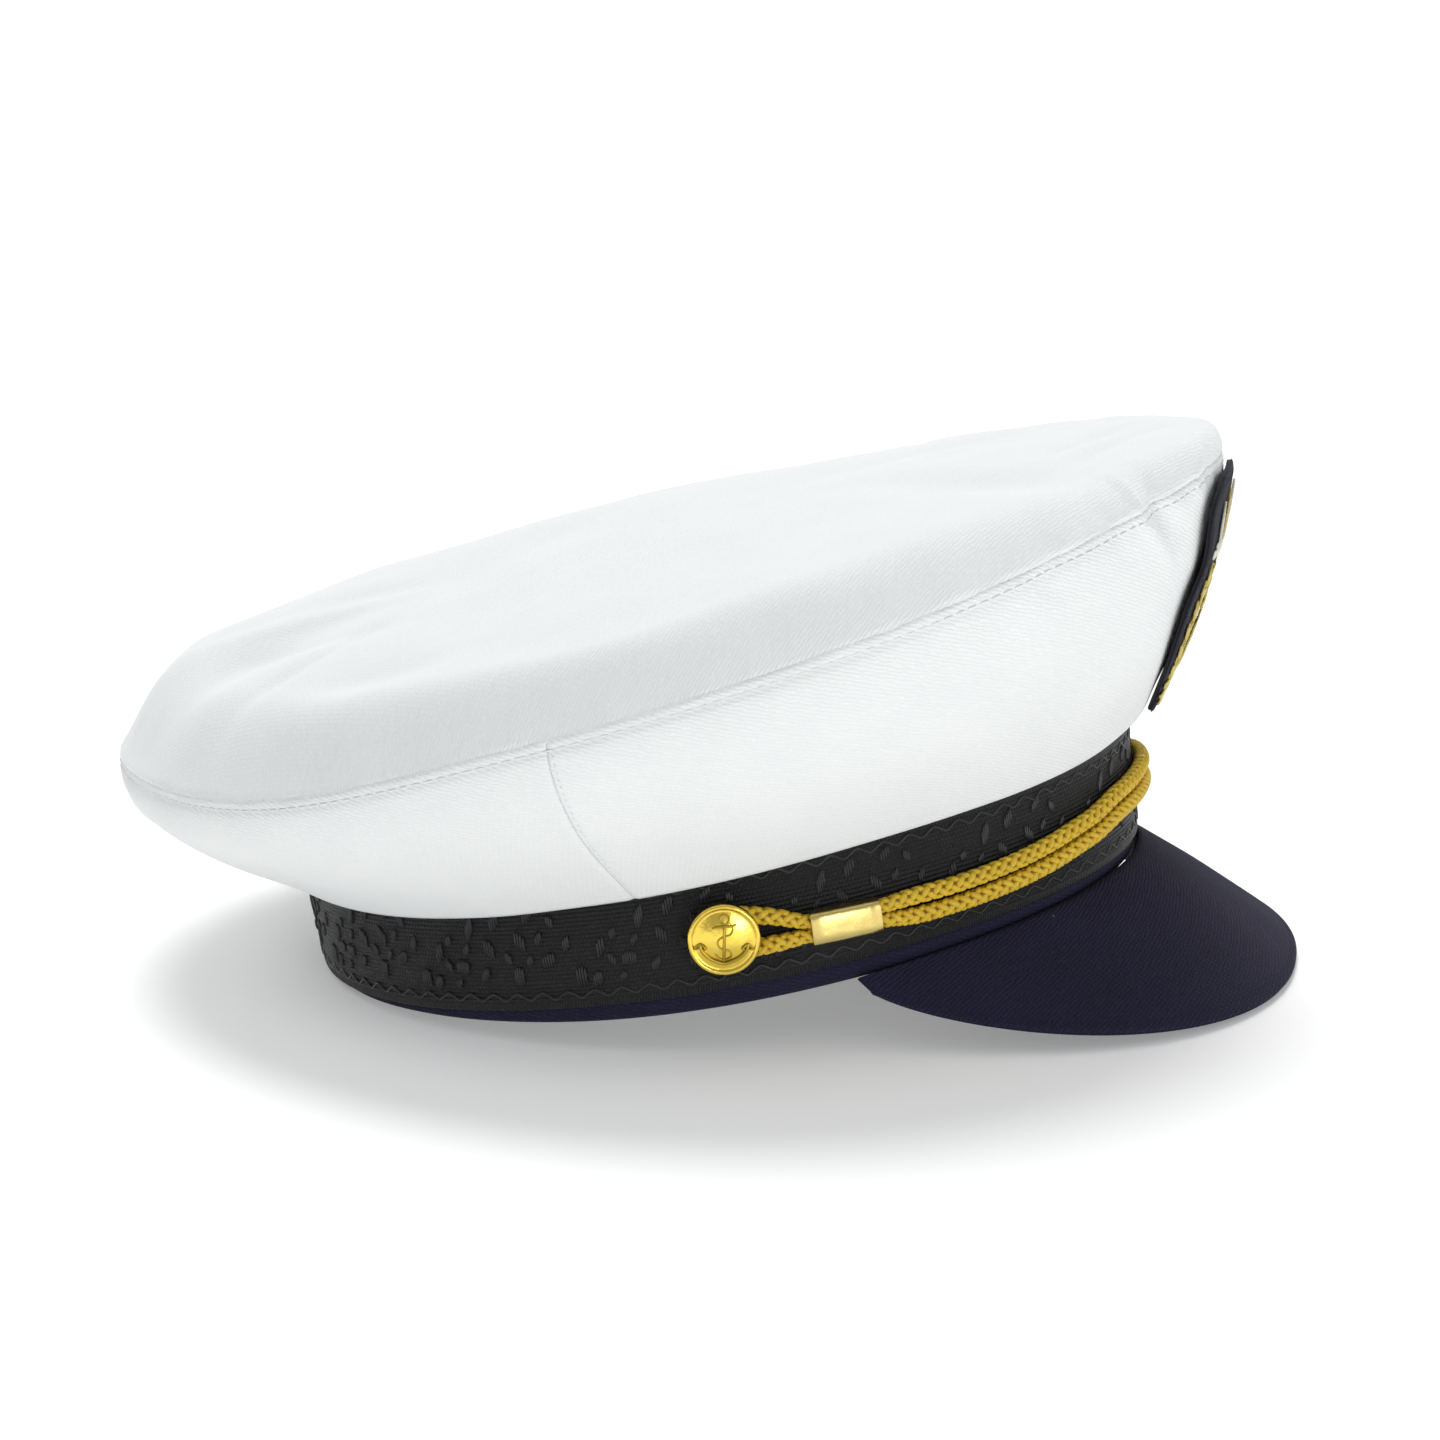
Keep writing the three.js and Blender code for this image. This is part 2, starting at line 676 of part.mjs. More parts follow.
// Button in its own frame: +Y out of the hat, -Z up
function makeButton() {
  const radius = buttonDiameter / 2;
  const shank = shankDiameter / 2;
  const base = cordDiameter + fitGap;
  const profile = [
    [0, 0],
    [shank, 0],
    [shank, base],
    ...buttonRows.map(({ out, up }) => [out * radius, base + up * buttonCapDepth]),
  ].map(([out, up]) => new THREE.Vector2(out, up));
  const body = new THREE.LatheGeometry(profile, buttonSides);
  const anchor = extruded(anchorShape(buttonAnchorHeight), buttonAnchorSink + buttonAnchorStand);
  anchor.rotateX(-Math.PI / 2);
  anchor.translate(0, base + buttonCapDepth - buttonAnchorSink, 0);
  return toGeometry(toSolid(body).add(toSolid(anchor)));
}

function placeButton(mesh, side) {
  const angle = side * buttonAngle;
  const seat = fitGap + ribbonWall + fitGap;
  const foot = bandPoint(angle, seat, buttonHeight);
  const ahead = bandPoint(angle + 1, seat, buttonHeight).sub(bandPoint(angle - 1, seat, buttonHeight));
  const upward = bandPoint(angle, seat, buttonHeight + 1).sub(foot).normalize();
  const outward = new THREE.Vector3().crossVectors(ahead, upward).normalize();
  const downward = upward.clone().negate();
  const basis = new THREE.Matrix4().makeBasis(
    new THREE.Vector3().crossVectors(outward, downward),
    outward,
    downward,
  );
  mesh.quaternion.setFromRotationMatrix(basis);
  mesh.position.copy(foot);
  return mesh;
}

// Badge

// Front of the crown from the badge's bottom to its top, with a slight stand-off
const frontCurve = new THREE.CatmullRomCurve3(sideSection(0).slice(-sideRows.length));

function frontPlace(height) {
  const steps = 200;
  const points = frontCurve.getPoints(steps);
  const found = points.findIndex((point) => point.z >= height);
  const index = Math.max(1, found < 0 ? steps : found);
  const low = points[index - 1];
  const high = points[index];
  const point = low.clone().lerp(high, (height - low.z) / (high.z - low.z));
  const tangent = high.clone().sub(low).normalize();
  return { point, outward: new THREE.Vector3(0, -tangent.z, tangent.y) };
}

// Maps across, up and out on the badge to the front of the crown
function badgePoint(across, up, out) {
  const lean = 0.955;
  const { point, outward } = frontPlace(badgeBase + up * lean);
  const frontRadius = (crownWidth / 2) ** 2 / (crownDepth / 2);
  point.addScaledVector(outward, badgeSeat + out);
  point.x += across;
  point.y += badgeWrap * across * across / (2 * frontRadius);
  return point;
}

function onBadge(geometry) {
  return mapped(geometry, (point) => badgePoint(point.x, point.y, point.z));
}

function makeBadgeBacking() {
  const columns = 9;
  const face = (out) => badgeRows.map(({ up, half }) => (
    Array.from({ length: columns }, (_, column) => {
      const across = lerp(-1, 1, column / (columns - 1)) * half * badgeWidth / 2;
      return badgePoint(across, up * badgeHeight, out);
    })
  ));
  return wallBody(face(feltWall), face(0));
}

// Raised embroidery over the felt, in facets short enough to follow its bend
function threadLayer(shape, middle = 0) {
  const splits = 8;
  const geometry = new TessellateModifier(threadFacet, splits).modify(extruded(shape, threadRelief));
  geometry.translate(0, middle, feltWall + threadGap);
  return onBadge(geometry);
}

function makeBadgeAnchor() {
  return threadLayer(anchorShape(badgeHeight * badgeAnchorTall), badgeHeight * badgeMiddle);
}

// An open ring of leaves: a band whose outer and inner edges rise to a point at each leaf
function makeBadgeWreath() {
  const radius = badgeWidth * wreathRadius;
  const pointsPerLeaf = 4;
  const points = pointsPerLeaf * wreathLeaves;
  const edge = (sign) => Array.from({ length: points + 1 }, (_, index) => {
    const turn = radians(lerp(90 + wreathOpening, 450 - wreathOpening, index / points));
    const fullness = 1 - Math.abs(2 * ((index / pointsPerLeaf) % 1) - 1);
    const reach = radius + sign * badgeWidth * (wreathStem + wreathLeaf * fullness);
    return [reach * Math.cos(turn), reach * Math.sin(turn)];
  });
  const outline = shapeFrom([...edge(1), ...edge(-1).reverse()]);
  return threadLayer(outline, badgeHeight * badgeMiddle);
}

// A fan of upright leaves over a short bar
function makeBadgeCrest() {
  const base = badgeHeight * crestBase;
  const tallest = badgeHeight * crestTall;
  const fanHalf = badgeWidth * crestHalf;
  const leafHalf = fanHalf / crestLeaves;
  const waist = 0.8;
  const outerFall = 0.28;
  const rootLevel = base + tallest * 0.2;
  const shoulderLevel = base + tallest * 0.6;
  const shoulder = leafHalf * 0.75;
  const outline = [[-fanHalf * waist, base], [fanHalf * waist, base]];
  for (let leaf = crestLeaves - 1; leaf >= 0; leaf -= 1) {
    const place = lerp(-1, 1, (leaf + 0.5) / crestLeaves);
    const middle = place * fanHalf;
    outline.push([(middle + leafHalf) * waist, rootLevel]);
    outline.push([middle + shoulder, shoulderLevel]);
    outline.push([middle, base + tallest * (1 - outerFall * place * place)]);
    outline.push([middle - shoulder, shoulderLevel]);
  }
  outline.push([-fanHalf * waist, rootLevel]);
  return threadLayer(shapeFrom(outline));
}

// Materials
const twill = { color: 0xf4f6f5, roughness: 0.85, metalness: 0 };
const navyCloth = { color: 0x1b1a38, roughness: 0.9, metalness: 0 };
const blackRibbon = { color: 0x141416, roughness: 0.7, metalness: 0 };
const goldCord = { color: 0xe0a51e, roughness: 0.55, metalness: 0.1 };
const paleBrass = { color: 0xe2c878, roughness: 0.3, metalness: 1 };
const giltMetal = { color: 0xe8bb3a, roughness: 0.25, metalness: 1 };
const goldThread = { color: 0xd9c23c, roughness: 0.45, metalness: 0.4 };
const silverThread = { color: 0xe6e6dd, roughness: 0.4, metalness: 0.4 };

function named(name, geometry, finish) {
  const mesh = new THREE.Mesh(geometry, new THREE.MeshStandardMaterial(finish));
  mesh.name = name;
  return mesh;
}

const hat = new THREE.Group();
hat.add(
  named("under_band", makeUnderBand(), navyCloth),
  named("ribbon_band", makeRibbonBand(), blackRibbon),
  named("crown_top", makeCrownTop(), twill),
  named("crown_front_right", makeSidePanel(-sideSeamAngle, 0), twill),
  named("crown_front_left", makeSidePanel(0, sideSeamAngle), twill),
  named("crown_back_left", makeSidePanel(sideSeamAngle, 180), twill),
  named("crown_back_right", makeSidePanel(180, 360 - sideSeamAngle), twill),
  named("visor", makeVisor(), navyCloth),
  named("chin_cord", makeChinCord(), goldCord),
  named("cord_sleeve_right", makeSleeve(-1), paleBrass),
  named("cord_sleeve_left", makeSleeve(1), paleBrass),
  placeButton(named("button_right", makeButton(), giltMetal), -1),
  placeButton(named("button_left", makeButton(), giltMetal), 1),
  named("badge_backing", makeBadgeBacking(), navyCloth),
  named("badge_anchor", makeBadgeAnchor(), goldThread),
  named("badge_wreath", makeBadgeWreath(), goldThread),
  named("badge_crest", makeBadgeCrest(), silverThread),
);
hat.applyMatrix4(restPose);

// Stand the hat with the middle of its box over the origin
hat.updateMatrixWorld(true);
const middle = new THREE.Box3().setFromObject(hat, true).getCenter(new THREE.Vector3());
hat.position.x -= middle.x;
hat.position.y -= middle.y;

export default hat;
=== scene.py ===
import math
import bpy
import numpy as np
from mathutils import Matrix, Vector


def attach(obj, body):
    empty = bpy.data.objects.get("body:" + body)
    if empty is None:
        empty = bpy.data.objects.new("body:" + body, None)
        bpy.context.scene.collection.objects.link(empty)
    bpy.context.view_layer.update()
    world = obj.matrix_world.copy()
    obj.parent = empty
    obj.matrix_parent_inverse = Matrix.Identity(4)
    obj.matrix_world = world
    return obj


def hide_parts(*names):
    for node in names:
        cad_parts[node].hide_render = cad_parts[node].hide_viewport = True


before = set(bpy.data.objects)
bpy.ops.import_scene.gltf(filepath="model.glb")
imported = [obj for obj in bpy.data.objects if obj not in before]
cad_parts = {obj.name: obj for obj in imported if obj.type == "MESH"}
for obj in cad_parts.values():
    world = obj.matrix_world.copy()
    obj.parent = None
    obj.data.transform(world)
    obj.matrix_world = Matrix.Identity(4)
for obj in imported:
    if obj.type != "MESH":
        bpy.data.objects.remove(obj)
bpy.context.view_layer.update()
scene = bpy.context.scene
print("frame loaded")

# Sizes are millimetres in the hat's own frame, front towards -y and the wearer's left towards
# +x. Lists named round run evenly from the front to the back.
band = {
    "depth": 198.6, "width": 180.6, "egg": 0.087, "wall": 2.0, "flare": 0.8, "gap": 0.3,
    "rimWave": 2.5, "waveRound": [0.92, -0.05, -1.1, -0.3, 0.56],
    "strip": 3.8, "stripRound": [1.0, 1.15, 1.09, 0.45, 0.4],
    "ribbonWidth": 27.3, "ribbonWall": 1.0,
}
crown = {
    "depth": 269.0, "width": 242.0, "setback": 7.7, "seamHeight": 94.3, "topHeight": 99.5,
    "wall": 1.5, "nose": 4.5, "sideSeam": 88.3, "hemTuck": 5.0, "hemStep": 6.5, "hemLip": 1.9,
    "seamRound": [1.0, 0.938, 0.832, 0.715, 0.61, 0.62, 0.635],
    "noseRound": [1.0, 0, 0, 0, 0, 0, 0],
    "rollRound": [0.08, 0.108, 0.138, 0.142, 0.16, 0.155, 0.148],
    "softRound": [0.04, 0.1, 0.12, 0.115, 0.14, 0.17, 0.18],
    "slantRound": [0.45, 0.8, 1.15, 1.3, 1.35, 1.4, 1.4], "rollCurve": 2.4,
    "liftRound": [0.14, 0.04, -0.01, -0.1, -0.14, -0.07, 0],
    "hemRise": 0.5, "topTurn": 0.6, "edgeRows": 22, "topRows": 56,
}
visor = {
    "reach": 133.6, "drop": 29.7, "corner": 63.0, "wall": 2.2, "bulge": 0.6, "seatRise": -0.2,
    "seatGap": 0.02, "foreCurve": 0.764, "sideCurve": 0.895, "fallCurve": 0.451,
    "cornerStart": 0.012, "groove": 0.7, "grooveTurn": 0.2, "edgeLine": 2.6, "edgeDip": 0.22,
    "edgeWidth": 0.5, "columns": 181, "crowding": 0.35, "leastSpan": 1.5,
    "marksAcross": 210, "marksBelow": 90,
}
rest = {"rearFlat": 0.5, "middleShift": -5.6286}

rearHeight = band["rimWave"] * band["waveRound"][-1] + rest["rearFlat"]
restPitch = math.atan2(rearHeight + visor["drop"], visor["reach"] + band["depth"] / 2)
restLift = band["depth"] / 2 * math.sin(restPitch) - rearHeight * math.cos(restPitch)


# Shape helpers

def toWorld(points):
    # hat millimetres to the resting hat in metres
    points = np.asarray(points, float)
    turned = np.empty_like(points)
    turned[..., 0] = points[..., 0]
    turned[..., 1] = (points[..., 1] * math.cos(restPitch) + points[..., 2] * math.sin(restPitch)
                      + rest["middleShift"])
    turned[..., 2] = (points[..., 2] * math.cos(restPitch) - points[..., 1] * math.sin(restPitch)
                      + restLift)
    return turned * 0.001


def turnToWorld(directions):
    return (toWorld(directions) - toWorld(np.zeros(3))) * 1000


def blend(start, end, part):
    return start + (end - start) * part


def unit(vectors):
    return vectors / np.maximum(np.linalg.norm(vectors, axis=-1, keepdims=True), 1e-9)


def curveBetween(start, end, leaving, arriving, part):
    # smooth curve between two values with the given slopes
    square = part * part
    cube = square * part
    return (start * (2 * cube - 3 * square + 1) + leaving * (cube - 2 * square + part)
            + end * (3 * square - 2 * cube) + arriving * (cube - square))


def readAround(values, angles):
    # smooth value at angles in degrees; the rows mirror at the front and at the back
    values = np.asarray(values, float)
    last = len(values) - 1
    place = np.abs((np.asarray(angles, float) + 180) % 360 - 180) / (180 / last)
    row = np.minimum(place.astype(int), last - 1)
    before, start, end, after = (
        values[last - np.abs(last - np.abs(row + offset))] for offset in (-1, 0, 1, 2))
    return curveBetween(start, end, (end - before) / 2, (after - start) / 2, place - row)


def throughPoints(stops, places):
    # smooth values at places along rows of evenly counted stops
    stops = np.asarray(stops, float)
    places = np.clip(np.asarray(places, float), 0, len(stops) - 1)
    row = np.minimum(places.astype(int), len(stops) - 2)
    padded = np.concatenate([[2 * stops[0] - stops[1]], stops, [2 * stops[-1] - stops[-2]]])
    before, start, end, after = (padded[row + offset] for offset in range(4))
    return curveBetween(
        start, end, (end - before) / 2, (after - start) / 2, (places - row)[:, None])


def lengthsAlong(points, axis=0):
    steps = np.linalg.norm(np.diff(points, axis=axis), axis=-1)
    first = np.zeros_like(np.take(steps, [0], axis=axis))
    return np.concatenate([first, np.cumsum(steps, axis=axis)], axis=axis)


def closeUp(table, axis=0):
    # the table with its first row, or column, once more at the end
    return np.concatenate([table, np.take(table, [0], axis)], axis)


def readColumns(places, lengths, table):
    return np.stack([np.interp(places, lengths, column) for column in np.transpose(table)], -1)


def evenlySpaced(points, spacing, closed=False):
    # the same line with its points one spacing apart; extra columns are carried along
    points = closeUp(points) if closed else points
    lengths = lengthsAlong(points[:, :3])
    count = max(2, int(round(lengths[-1] / spacing)))
    places = np.arange(count) * lengths[-1] / count if closed else np.linspace(0, lengths[-1], count + 1)
    return readColumns(places, lengths, points)


def normalsOf(grid, wraps, centre):
    across = np.roll(grid, -1, 0) - np.roll(grid, 1, 0) if wraps else np.gradient(grid, axis=0)
    normal = unit(np.cross(across, np.gradient(grid, axis=1)))
    return normal * np.sign(np.sum(normal * (grid - centre)))


def softField(points, wavelength, seed, waves=16):
    # a smooth random height over space, about -1 to 1
    chance = np.random.default_rng(seed)
    total = 0
    for _ in range(waves):
        heading = unit(chance.normal(size=3))
        length = wavelength * chance.uniform(0.7, 1.6)
        total = total + np.sin(points @ heading * 2 * math.pi / length + chance.uniform(0, 6.28))
    return total / math.sqrt(waves)


def addObject(name, data):
    thing = bpy.data.objects.new(name, data)
    scene.collection.objects.link(thing)
    return thing


def buildSolid(name, sections, marks, finish, wraps=True, loops=True, poles=()):
    # closes a grid of world points (columns, rows) into a solid; marks are its UV millimetres
    columns, rows = sections.shape[:2]
    points = list(sections.reshape(-1, 3))
    spanAcross = columns if wraps else columns - 1
    spanAlong = rows if loops else rows - 1
    faces, faceMarks = [], []

    def add(corners, extra=None):
        faces.append([column % columns * rows + row % rows for column, row in corners])
        faceMarks.append([marks[corner] for corner in corners])
        if extra is not None:
            faces[-1].append(len(points) + extra)
            faceMarks[-1].append(marks[corners[0]])

    for column in range(spanAcross):
        for row in range(spanAlong):
            add([(column, row), (column + 1, row), (column + 1, row + 1), (column, row + 1)])
        if len(poles):
            add([(column + 1, 0), (column, 0)], 0)
            add([(column, rows - 1), (column + 1, rows - 1)], 1)
    if not wraps:
        half = rows // 2
        for row in range(half - 1):
            back = rows - 1 - row
            add([(0, row), (0, row + 1), (0, back - 1), (0, back)])
            add([(columns - 1, back), (columns - 1, back - 1), (columns - 1, row + 1), (columns - 1, row)])
    points += [np.asarray(pole) for pole in poles]
    points = np.asarray(points)
    volume = sum(
        np.dot(points[face[0]], np.cross(points[face[side]], points[face[side + 1]]))
        for face in faces for side in range(1, len(face) - 1)
    )
    if volume < 0:
        faces = [face[::-1] for face in faces]
        faceMarks = [face[::-1] for face in faceMarks]
    mesh = bpy.data.meshes.new(name)
    mesh.from_pydata(points.tolist(), [], faces)
    layer = mesh.uv_layers.new(name="UVMap")
    layer.data.foreach_set("uv", np.concatenate([np.asarray(face, float) for face in faceMarks]).ravel())
    mesh.polygons.foreach_set("use_smooth", [True] * len(faces))
    mesh.materials.append(finish)
    mesh.update()
    return addObject(name, mesh)


def growPiece(name, carrier, tree, sizes):
    # the tree's pieces on the carrier, made into a plain mesh
    modifier = carrier.modifiers.new("lay", "NODES")
    modifier.node_group = tree
    for item in tree.interface.items_tree:
        if item.name in sizes:
            modifier[item.identifier] = sizes[item.name]
    bpy.context.view_layer.update()
    graph = bpy.context.evaluated_depsgraph_get()
    mesh = bpy.data.meshes.new_from_object(carrier.evaluated_get(graph))
    mesh.name = name
    piece = addObject(name, mesh)
    bpy.data.objects.remove(carrier)
    return piece


def linesCarrier(name, lines):
    # each line is (points, closed, half thickness) in hat millimetres
    points, edges, thick = [], [], []
    for line, closed, half in lines:
        start = len(points)
        points += toWorld(line).tolist()
        thick += np.broadcast_to(half * 0.001, len(line)).tolist()
        edges += [(start + index, start + index + 1) for index in range(len(line) - 1)]
        if closed:
            edges.append((start + len(line) - 1, start))
    mesh = bpy.data.meshes.new(name)
    mesh.from_pydata(points, edges, [])
    mesh.attributes.new("thick", "FLOAT", "POINT").data.foreach_set("value", thick)
    return addObject(name, mesh)


def keepPiece(piece, slot, *nodes):
    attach(piece, "root")
    if nodes:
        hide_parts(*nodes)


# Node helpers

def wire(tree, source, target):
    # source is a socket or a plain value
    if isinstance(source, bpy.types.NodeSocket):
        tree.links.new(source, target)
    else:
        target.default_value = source


def put(tree, kind, inputs=(), **settings):
    # a node; its inputs are sockets or plain values, by name or number
    node = tree.nodes.new(kind)
    for key, value in settings.items():
        setattr(node, key, value)
    for key, value in dict(inputs).items():
        wire(tree, value, node.inputs[key])
    return node


def startTree(name, inputs):
    tree = bpy.data.node_groups.new(name, "GeometryNodeTree")
    tree.interface.new_socket("Base", in_out="INPUT", socket_type="NodeSocketGeometry")
    for label, kind in inputs.items():
        tree.interface.new_socket(label, in_out="INPUT", socket_type="NodeSocket" + kind)
    tree.interface.new_socket("Pieces", in_out="OUTPUT", socket_type="NodeSocketGeometry")
    return tree, put(tree, "NodeGroupInput").outputs


def endTree(tree, geometry, finish):
    # every tree ends the same way: real meshes, smooth, with their material
    real = put(tree, "GeometryNodeRealizeInstances", {"Geometry": geometry}).outputs[0]
    smooth = put(tree, "GeometryNodeSetShadeSmooth", {"Geometry": real}).outputs[0]
    painted = put(tree, "GeometryNodeSetMaterial", {"Geometry": smooth, "Material": finish})
    put(tree, "NodeGroupOutput", {"Pieces": painted.outputs[0]})
    return tree


def readPoint(tree, name, kind):
    node = put(tree, "GeometryNodeInputNamedAttribute", {"Name": name}, data_type=kind)
    return node.outputs["Attribute"]


def placePads(tree, points, rotation, sizes, segments, rings):
    # balls with their own UV map, stretched into stitches or braid lobes
    ball = put(tree, "GeometryNodeMeshUVSphere", {"Segments": segments, "Rings": rings, "Radius": 1})
    marked = put(tree, "GeometryNodeStoreNamedAttribute", {
        "Geometry": ball.outputs["Mesh"], "Name": "UVMap", "Value": ball.outputs["UV Map"],
    }, data_type="FLOAT2", domain="CORNER")
    scale = put(tree, "ShaderNodeCombineXYZ", enumerate(sizes))
    return put(tree, "GeometryNodeInstanceOnPoints", {
        "Points": points, "Instance": marked.outputs[0], "Rotation": rotation,
        "Scale": scale.outputs[0]}).outputs[0]


def stitchTree(name, finish):
    # a row of thread stitches along a line
    tree, given = startTree(name, {"Pitch": "Float", "Length": "Float", "Thickness": "Float"})
    line = put(tree, "GeometryNodeMeshToCurve", {"Mesh": given["Base"]})
    even = put(tree, "GeometryNodeResampleCurve", {
        "Curve": line.outputs["Curve"], "Length": given["Pitch"]}, mode="LENGTH")
    heading = put(tree, "GeometryNodeInputTangent").outputs["Tangent"]
    aimed = put(tree, "FunctionNodeAlignRotationToVector", {"Vector": heading}, axis="Z")
    sizes = given["Thickness"], given["Thickness"], given["Length"]
    laid = placePads(tree, even.outputs["Curve"], aimed.outputs["Rotation"], sizes, 7, 6)
    return endTree(tree, laid, finish)


def layTree(name, finish, segments, rings):
    # a pad on every point, turned by the point's along and outward directions
    tree, given = startTree(name, {"Thickness": "Float", "Width": "Float"})
    aimed = put(tree, "FunctionNodeAlignRotationToVector", {
        "Vector": readPoint(tree, "along", "FLOAT_VECTOR")}, axis="Z")
    seated = put(tree, "FunctionNodeAlignRotationToVector", {
        "Rotation": aimed.outputs["Rotation"],
        "Vector": readPoint(tree, "outward", "FLOAT_VECTOR")}, axis="X", pivot_axis="Z")
    sizes = given["Thickness"], given["Width"], readPoint(tree, "reach", "FLOAT")
    laid = placePads(tree, given["Base"], seated.outputs["Rotation"], sizes, segments, rings)
    return endTree(tree, laid, finish)


def tubeTree(name, finish):
    # a round cord or raised line along each line, as thick as the line's own points say
    tree, given = startTree(name, {"Sides": "Int"})
    line = put(tree, "GeometryNodeMeshToCurve", {"Mesh": given["Base"]})
    ring = put(tree, "GeometryNodeCurvePrimitiveCircle", {"Resolution": given["Sides"], "Radius": 1})
    tube = put(tree, "GeometryNodeCurveToMesh", {
        "Curve": line.outputs["Curve"], "Profile Curve": ring.outputs["Curve"],
        "Scale": readPoint(tree, "thick", "FLOAT"), "Fill Caps": True})
    return endTree(tree, tube.outputs["Mesh"], finish)


def sewRow(name, line, closed, pitch, length, thickness):
    carrier = linesCarrier(name + "Line", [(line, closed, 1)])
    return growPiece(name, carrier, stitchTree(name, whiteThread), {
        "Pitch": pitch * 0.001, "Length": length * 0.0005, "Thickness": thickness * 0.0005})


def layPads(name, places, along, outward, reach, finish, thickness, width, segments=7, rings=4):
    # all in hat millimetres; reach is each pad's half length
    mesh = bpy.data.meshes.new(name + "Places")
    mesh.from_pydata(toWorld(places).tolist(), [], [])
    for label, data in (("along", along), ("outward", outward)):
        attribute = mesh.attributes.new(label, "FLOAT_VECTOR", "POINT")
        attribute.data.foreach_set("vector", turnToWorld(data).ravel())
    mesh.attributes.new("reach", "FLOAT", "POINT").data.foreach_set("value", reach * 0.001)
    return growPiece(name, addObject(name + "Carrier", mesh), layTree(name, finish, segments, rings), {
        "Thickness": thickness * 0.0005, "Width": width * 0.0005})


def drawTubes(name, lines, finish, sides):
    return growPiece(name, linesCarrier(name + "Line", lines), tubeTree(name, finish), {"Sides": sides})


# Finishes

def startFinish(name, colour, roughness, **values):
    finish = bpy.data.materials.new(name)
    finish.use_nodes = True
    tree = finish.node_tree
    shader = tree.nodes["Principled BSDF"]
    shader.inputs["Base Color"].default_value = (*colour, 1)
    shader.inputs["Roughness"].default_value = roughness
    for key, value in values.items():
        shader.inputs[key].default_value = value
    return finish, tree, shader


def calc(tree, operation, first, second=0.0, third=0.0):
    return put(tree, "ShaderNodeMath", enumerate((first, second, third)), operation=operation).outputs[0]


def weigh(tree, first, share, second, part):
    # first times its share plus second times its part
    return calc(tree, "MULTIPLY_ADD", first, share, calc(tree, "MULTIPLY", second, part))


def marksOf(tree):
    # the piece's own UV map, whole and split into across and up
    marks = put(tree, "ShaderNodeUVMap", uv_map="UVMap").outputs["UV"]
    split = put(tree, "ShaderNodeSeparateXYZ", {0: marks})
    return marks, split.outputs["X"], split.outputs["Y"]


def noiseOf(tree, vector, scale, detail=3.0, roughness=0.55):
    return put(tree, "ShaderNodeTexNoise", {
        "Vector": vector, "Scale": scale, "Detail": detail, "Roughness": roughness}).outputs["Fac"]


def waveOf(tree, place, pitch, shift=0.0):
    # 0 to 1 and back over each pitch
    turned = calc(tree, "MULTIPLY_ADD", place, 2 * math.pi / pitch, shift)
    return calc(tree, "MULTIPLY_ADD", calc(tree, "SINE", turned), 0.5, 0.5)


def tint(tree, shader, factor, dark, light):
    # dark and light are colours; dark may be the output of another tint
    if isinstance(dark, tuple):
        dark = (*dark, 1)
    mixed = put(tree, "ShaderNodeMix", {0: factor, 6: dark, 7: (*light, 1)}, data_type="RGBA").outputs[2]
    wire(tree, mixed, shader.inputs["Base Color"])
    return mixed


def emboss(tree, shader, height, strength, distance):
    bump = put(tree, "ShaderNodeBump", {"Strength": strength, "Distance": distance, "Height": height})
    wire(tree, bump.outputs["Normal"], shader.inputs["Normal"])


twill = {
    "roughness": 0.88, "sheenRoughness": 0.5, "shine": 0.25, "wander": 0.5, "wanderShare": 1.6,
    "yarnPitch": 1.35, "yarnShare": 0.45, "yarnBase": 0.55, "fuzz": 2.4, "fuzzShare": 0.5,
    "cloud": 0.045, "cloudShare": 0.6, "weaveShare": 0.45, "relief": 0.00035,
    "lintSpacing": 0.11, "lintColour": (0.3, 0.3, 0.36),
}


def twillFinish(name, dark, light, pitch, slope, strength, sheen, lint=0.0):
    # woven cloth: slanting ridges broken by the crossing yarn, with a little fuzz
    finish, tree, shader = startFinish(name, light, twill["roughness"], **{
        "Sheen Weight": sheen, "Sheen Roughness": twill["sheenRoughness"],
        "Specular IOR Level": twill["shine"]})
    marks, across, up = marksOf(tree)
    wander = noiseOf(tree, marks, twill["wander"], 2.0)
    up = calc(tree, "MULTIPLY_ADD", wander, pitch * twill["wanderShare"], up)
    ridge = waveOf(tree, calc(tree, "MULTIPLY_ADD", across, slope, up), pitch)
    crossing = calc(tree, "MULTIPLY_ADD", up, -slope, across)
    yarn = waveOf(tree, crossing, pitch * twill["yarnPitch"])
    yarn = calc(tree, "MULTIPLY_ADD", yarn, twill["yarnShare"], twill["yarnBase"])
    weave = calc(tree, "MULTIPLY", ridge, yarn)
    cloud = noiseOf(tree, marks, twill["cloud"], 2.0)
    # colour: the weave's valleys painted darker as shade and its ridges lighter, mixed with random cloudy
    # tone
    shade = weigh(tree, weave, twill["weaveShare"], cloud, twill["cloudShare"])
    mixed = tint(tree, shader, shade, dark, light)
    if lint:
        specks = put(tree, "ShaderNodeTexVoronoi", {"Scale": twill["lintSpacing"], "Vector": marks})
        near = calc(tree, "LESS_THAN", specks.outputs["Distance"], lint)
        tint(tree, shader, near, mixed, twill["lintColour"])
    fuzz = noiseOf(tree, marks, twill["fuzz"])
    height = calc(tree, "MULTIPLY_ADD", fuzz, twill["fuzzShare"], weave)
    emboss(tree, shader, height, strength, pitch * twill["relief"])
    return finish


# each twill's dark colour is the painted shade of its weave's valleys
whiteTwill = twillFinish(
    "whiteTwill", (0.79, 0.81, 0.805), (0.9, 0.91, 0.905),
    pitch=0.95, slope=0.5, strength=0.35, sheen=0.1)
navyTwill = twillFinish(
    "navyTwill", (0.006, 0.0055, 0.017), (0.021, 0.018, 0.052),
    pitch=0.95, slope=0.35, strength=0.7, sheen=0.02, lint=0.022)


